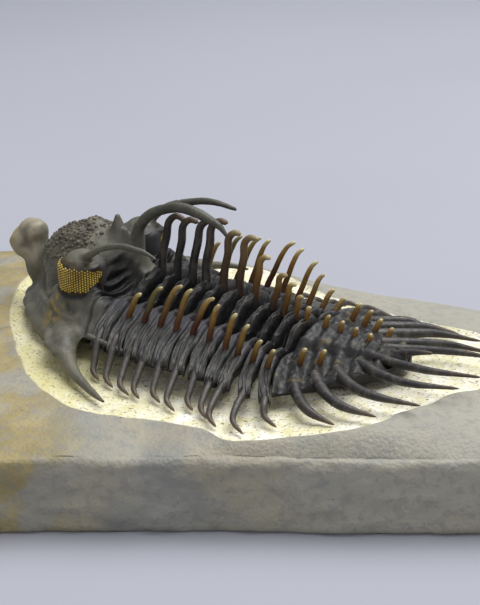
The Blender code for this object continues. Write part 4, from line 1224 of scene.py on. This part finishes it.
# %% Net of points where the formula is zero
def surface_net(formula, low_corner, high_corner, step):
    """A closed mesh of quads: one point in each cell of a grid that the surface passes through."""
    lines = [np.arange(a, b + step, step) for a, b in zip(low_corner, high_corner)]
    grid = np.stack(np.meshgrid(*lines, indexing="ij"), axis=-1)
    value = formula(grid.reshape(-1, 3)).reshape(grid.shape[:3])
    total = np.zeros(grid.shape)
    count = np.zeros(grid.shape[:3])
    corners, flips = [], []
    for axis in range(3):
        near = np.take(value, range(value.shape[axis] - 1), axis=axis)
        far = np.take(value, range(1, value.shape[axis]), axis=axis)
        place = np.argwhere((near < 0) != (far < 0))
        a, b = near[tuple(place.T)], far[tuple(place.T)]
        crossing = grid[tuple(place.T)].copy()
        crossing[:, axis] += step * a / (a - b)
        unit = np.eye(3, dtype=int)
        second, third = unit[(axis + 1) % 3], unit[(axis + 2) % 3]
        around = [place, place - second, place - second - third, place - third]
        for cell in around:
            np.add.at(total, tuple(cell.T), crossing)
            np.add.at(count, tuple(cell.T), 1)
        corners.append(np.stack(around, axis=1))
        flips.append(a > 0)
    number = np.cumsum(count.ravel() > 0).reshape(count.shape) - 1
    quads = number[tuple(np.moveaxis(np.concatenate(corners), -1, 0))]
    flip = np.concatenate(flips)
    quads[flip] = quads[flip][:, ::-1]
    held = count > 0
    return total[held] / count[held][:, None], quads


def pulled_on(points, formula, rounds):
    """Move points onto the surface of a formula by Newton steps, and return its normals too."""
    reach_by = 0.03
    for _ in range(rounds):
        value = formula(points)
        slope = np.stack([formula(points + reach_by * axis) - value for axis in np.eye(3)], axis=1) / reach_by
        size = np.maximum((slope ** 2).sum(axis=1), 0.15)
        points = points - np.clip(value / size, -0.3, 0.3)[:, None] * slope
    return points, slope / np.linalg.norm(slope, axis=1)[:, None]


NET_LOW, NET_HIGH, NET_STEP = (-23.5, -21.5, -0.4), (12.5, 21.5, 18.0), 0.23
head_points, head_quads = surface_net(head_distance, NET_LOW, NET_HIGH, NET_STEP)
head_points, head_normals = pulled_on(head_points, head_distance, 2)
lift = head_relief(head_points)
head_points = head_points + head_normals * lift[:, None]
print("head points:", len(head_points), "quads:", len(head_quads))

# %% Head mesh and what its material reads
head_mesh = bpy.data.meshes.new("head_shield")
head_mesh.from_pydata(in_frame(head_points).tolist(), [], head_quads.tolist())
outward(head_mesh)
x, y, z = head_points.T
# Painted glow: warm yellow on the front of the knob, standing in for light through its translucent rim; the
# spots on the cheeks are amber calcite
glow = ease_in((-x - 20.2) / 1.5) * ease_in((z - 4.5) / 1.5)
spot = np.exp(-(((x + 8.9) / 1.5) ** 2 + ((np.abs(y) - 9.5) / 1.1) ** 2))
spot *= ease_in(noise(head_points, 0.7, 91) * 3 + 0.6)
# Painted shade behind each eye: dark over the recess and lighter on its rib tops; the olive tone is also
# lowered there
dark_place = np.exp(-(((x + 2.9) / 2.6) ** 4 + ((np.abs(y) - 5.2) / 3.6) ** 4 + ((z - 6.8) / 3.3) ** 4))
rib_tops = ease_in(np.cos(2 * math.pi * slant(head_points) / RIB_PITCH) * 1.5 - 0.7)
behind_eye = dark_place * (1 - 0.6 * rib_tops)
crown = ease_in((x + 17.0) / 0.8) * ease_in((-7.0 - x) / 1.2) * ease_in((z - 6.6) / 1.6)
crown *= np.exp(-(y / 4.9) ** 6)
sunk = ease_in(-lift / 0.25 - 0.25)
paint(head_mesh, "olive", np.clip(0.9 - 0.35 * ease_in((x + 3.0) / 4.0) - 0.9 * dark_place, 0, 1))
paint(head_mesh, "amber_and_glow", np.clip(0.75 * glow + 0.8 * spot, 0, 1))
# Painted shade: near black in the sunk furrows, behind the eyes, in the crease at each eye's foot and under
# the shield
from_eye = np.hypot(x - EYE_HUB[0], np.abs(y) - EYE_HUB[1])
eye_crease = np.exp(-((from_eye - 2.75) / 0.3) ** 4) * np.exp(-((z - 6.25) / 0.45) ** 4)
paint(head_mesh, "hollow_shade", np.clip(0.85 * sunk + 1.2 * behind_eye + eye_crease + 0.8 * (z < 0.52), 0, 1))
paint(head_mesh, "crown", crown)
knob_pale = ease_in((-x - 16.8) / 1.2) * ease_in((z - 4.8) / 2.0)
low_pale = 0.25 * ease_in((-z + 3.4) / 1.6) * ease_in((np.abs(y) - 9.5) / 3.0)
paint(head_mesh, "pale", np.clip(knob_pale + low_pale, 0, 1))
head = put_in_scene("head_shield", head_mesh, shell)
print("head faces:", len(head_mesh.polygons))

# %% [markdown]
# The middle of the head is covered in small round tubercles, and the eyes in lenses. Both are beads on a
# surface, so one tree scatters beads over a mesh where a mask allows, and a second stands one bead on each
# point of a rule, which is how the lens rows are laid: in upright files round the eye's drum, each file
# half a lens higher than the last.

# %% Geometry Nodes tree that scatters beads on a surface
bead_tree, given = geometry_tree("scattered_beads", "Surface", "Beads", Spacing=0.00042, Density=9000000.0,
                                 Smallest=0.00012, Largest=0.0003, Seed=3)
mask = node(bead_tree, "GeometryNodeInputNamedAttribute", {"Name": "crown"}).outputs["Attribute"]
spread = node(bead_tree, "GeometryNodeDistributePointsOnFaces",
              {"Mesh": given["Surface"], "Distance Min": given["Spacing"], "Density Max": given["Density"],
               "Density Factor": mask, "Seed": given["Seed"]}, distribute_method="POISSON")
bead = node(bead_tree, "GeometryNodeMeshUVSphere", {"Segments": 8, "Rings": 5, "Radius": 1.0})
size = node(bead_tree, "FunctionNodeRandomValue",
            {2: given["Smallest"], 3: given["Largest"], "Seed": given["Seed"]})
flatter = node(bead_tree, "ShaderNodeMath", {0: size.outputs[1], 1: 0.8}, operation="MULTIPLY")
scale = node(bead_tree, "ShaderNodeCombineXYZ",
             {0: size.outputs[1], 1: size.outputs[1], 2: flatter.outputs[0]})
placed = node(bead_tree, "GeometryNodeInstanceOnPoints",
              {"Points": spread.outputs["Points"], "Instance": bead.outputs["Mesh"],
               "Rotation": spread.outputs["Rotation"], "Scale": scale.outputs[0]})
close_tree(bead_tree, given, placed.outputs[0])
tubercle_mesh = grown("crown_tubercles", head, bead_tree, Seed=5, Finish=shell)
for label, value in (("olive", 0.9), ("crown", 1.0)):
    paint(tubercle_mesh, label, np.full(len(tubercle_mesh.vertices), value))
tubercles = put_in_scene("crown_tubercles", tubercle_mesh)
print("tubercle faces:", len(tubercle_mesh.polygons))

# %% Geometry Nodes tree that stands a lens on each point
lens_tree, given = geometry_tree("lens_rows", "Points", "Lenses", Width=0.000135, Bulge=0.00011)
facing = node(lens_tree, "GeometryNodeInputNamedAttribute", {"Name": "facing"},
              data_type="FLOAT_VECTOR").outputs["Attribute"]
turned = node(lens_tree, "FunctionNodeAlignRotationToVector", {"Vector": facing})
bead = node(lens_tree, "GeometryNodeMeshUVSphere", {"Segments": 8, "Rings": 6, "Radius": 1.0})
scale = node(lens_tree, "ShaderNodeCombineXYZ", {0: given["Width"], 1: given["Width"], 2: given["Bulge"]})
placed = node(lens_tree, "GeometryNodeInstanceOnPoints",
              {"Points": given["Points"], "Instance": bead.outputs["Mesh"], "Rotation": turned.outputs[0],
               "Scale": scale.outputs[0]})
close_tree(lens_tree, given, placed.outputs[0])


# %% Eyes
EYE_ROWS, EYE_COLUMNS = 13, 33
FIRST_COLUMN, COLUMNS_SPAN = -118, 205     # degrees round the drum
ROW_STEP = 0.3
DRUM_FRONT = math.radians(345)             # the middle of the drum's lensed side


def eye_radius(z):
    """Radius of the eye's drum at a height: nearly upright, then closing like a dome."""
    return 2.62 + 0.16 * ease_in((z - 5.9) / 2.0) - 1.5 * np.clip((z - 9.3) / 1.2, 0, 1) ** 2


def eye_point(side, turn, z):
    """A point on the drum; the turn starts at the outer side and grows towards the rear."""
    radius = eye_radius(z)
    across = side * (EYE_HUB[1] + radius * np.cos(turn))
    return np.stack((EYE_HUB[0] + radius * np.sin(turn), across, z + 0 * turn), -1)


def eye_foot(turn):
    """Lower edge of the lenses: it climbs towards the rear."""
    return 6.25 + 0.35 * np.clip(np.sin(turn + 0.9), 0, 1) + 1.9 * ease_in((turn - 0.6) / 1.2)


def eye(side, label, up):
    """A drum and its lenses; up lifts the eye above its plain height."""
    turns = np.radians(np.linspace(0, 360, 72, endpoint=False))
    lift = np.array((0.0, 0.0, up))
    heights = np.concatenate((np.linspace(5.6, 9.3, 9), np.linspace(9.5, 10.2, 6)))
    drum_mesh = ring_body("eye_drum", np.array([eye_point(side, turns, z) + lift for z in heights]))
    bearing = np.tile(np.abs((turns - DRUM_FRONT + math.pi) % (2 * math.pi) - math.pi), len(heights))
    paint(drum_mesh, "rear", ease_in((bearing - 1.75) / 0.2))
    drum = put_in_scene(f"eye_drum_{label}", drum_mesh, drum_finish)
    places, ways = [], []
    for column in range(EYE_COLUMNS):
        turn = math.radians(FIRST_COLUMN + COLUMNS_SPAN * column / (EYE_COLUMNS - 1))
        top = 9.5 + 0.35 * float(ease_in((turn + 2.0) / 0.6)) - 0.3 * float(ease_in((turn + 1.0) / 1.4))
        top -= 0.5 * float(ease_in((turn - 0.6) / 1.0))
        for row in range(EYE_ROWS):
            z = 10.0 - ROW_STEP * (row + 0.5 * (column % 2))
            if not float(eye_foot(np.array(turn))) + 0.16 < z < top:
                continue
            place, above = (eye_point(side, np.array(turn), level) for level in (z, z + 0.05))
            around = eye_point(side, np.array(turn + 0.05), z) - place
            way = np.cross(around, above - place)
            from_hub = place - np.array((EYE_HUB[0], side * EYE_HUB[1], z - 0.5))
            way = way / np.linalg.norm(way) * np.sign(way @ from_hub)
            places.append(place + lift)
            ways.append(way)
    cloud = bpy.data.meshes.new("lens_places")
    cloud.from_pydata(in_frame(places).tolist(), [], [])
    held = cloud.attributes.new("facing", "FLOAT_VECTOR", "POINT")
    held.data.foreach_set("vector", np.array(ways).ravel())
    source = put_in_scene("lens_places", cloud)
    lenses = put_in_scene(f"lenses_{label}", grown("lenses", source, lens_tree, Finish=lens_finish))
    bpy.data.objects.remove(source, do_unlink=True)
    return drum, lenses


near_eye = eye(-1, "near", 0.0)
far_eye = eye(1, "far", 0.1)
print("lenses faces:", len(near_eye[1].data.polygons))

# %% [markdown]
# ## Attach the pieces
# Every visible piece rides on the one body and stands for the CAD node whose place it fills.

# %% Ride and replace
for number, hoop in enumerate(thorax, 1):
    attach(hoop, "root")
    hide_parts(f"thorax_segment_{number:02d}")
for piece in (head, tubercles, *near_eye, *far_eye, tail):
    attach(piece, "root")
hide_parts("cephalon")
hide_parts("pygidium")
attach(matrix, "root")
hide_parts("matrix")
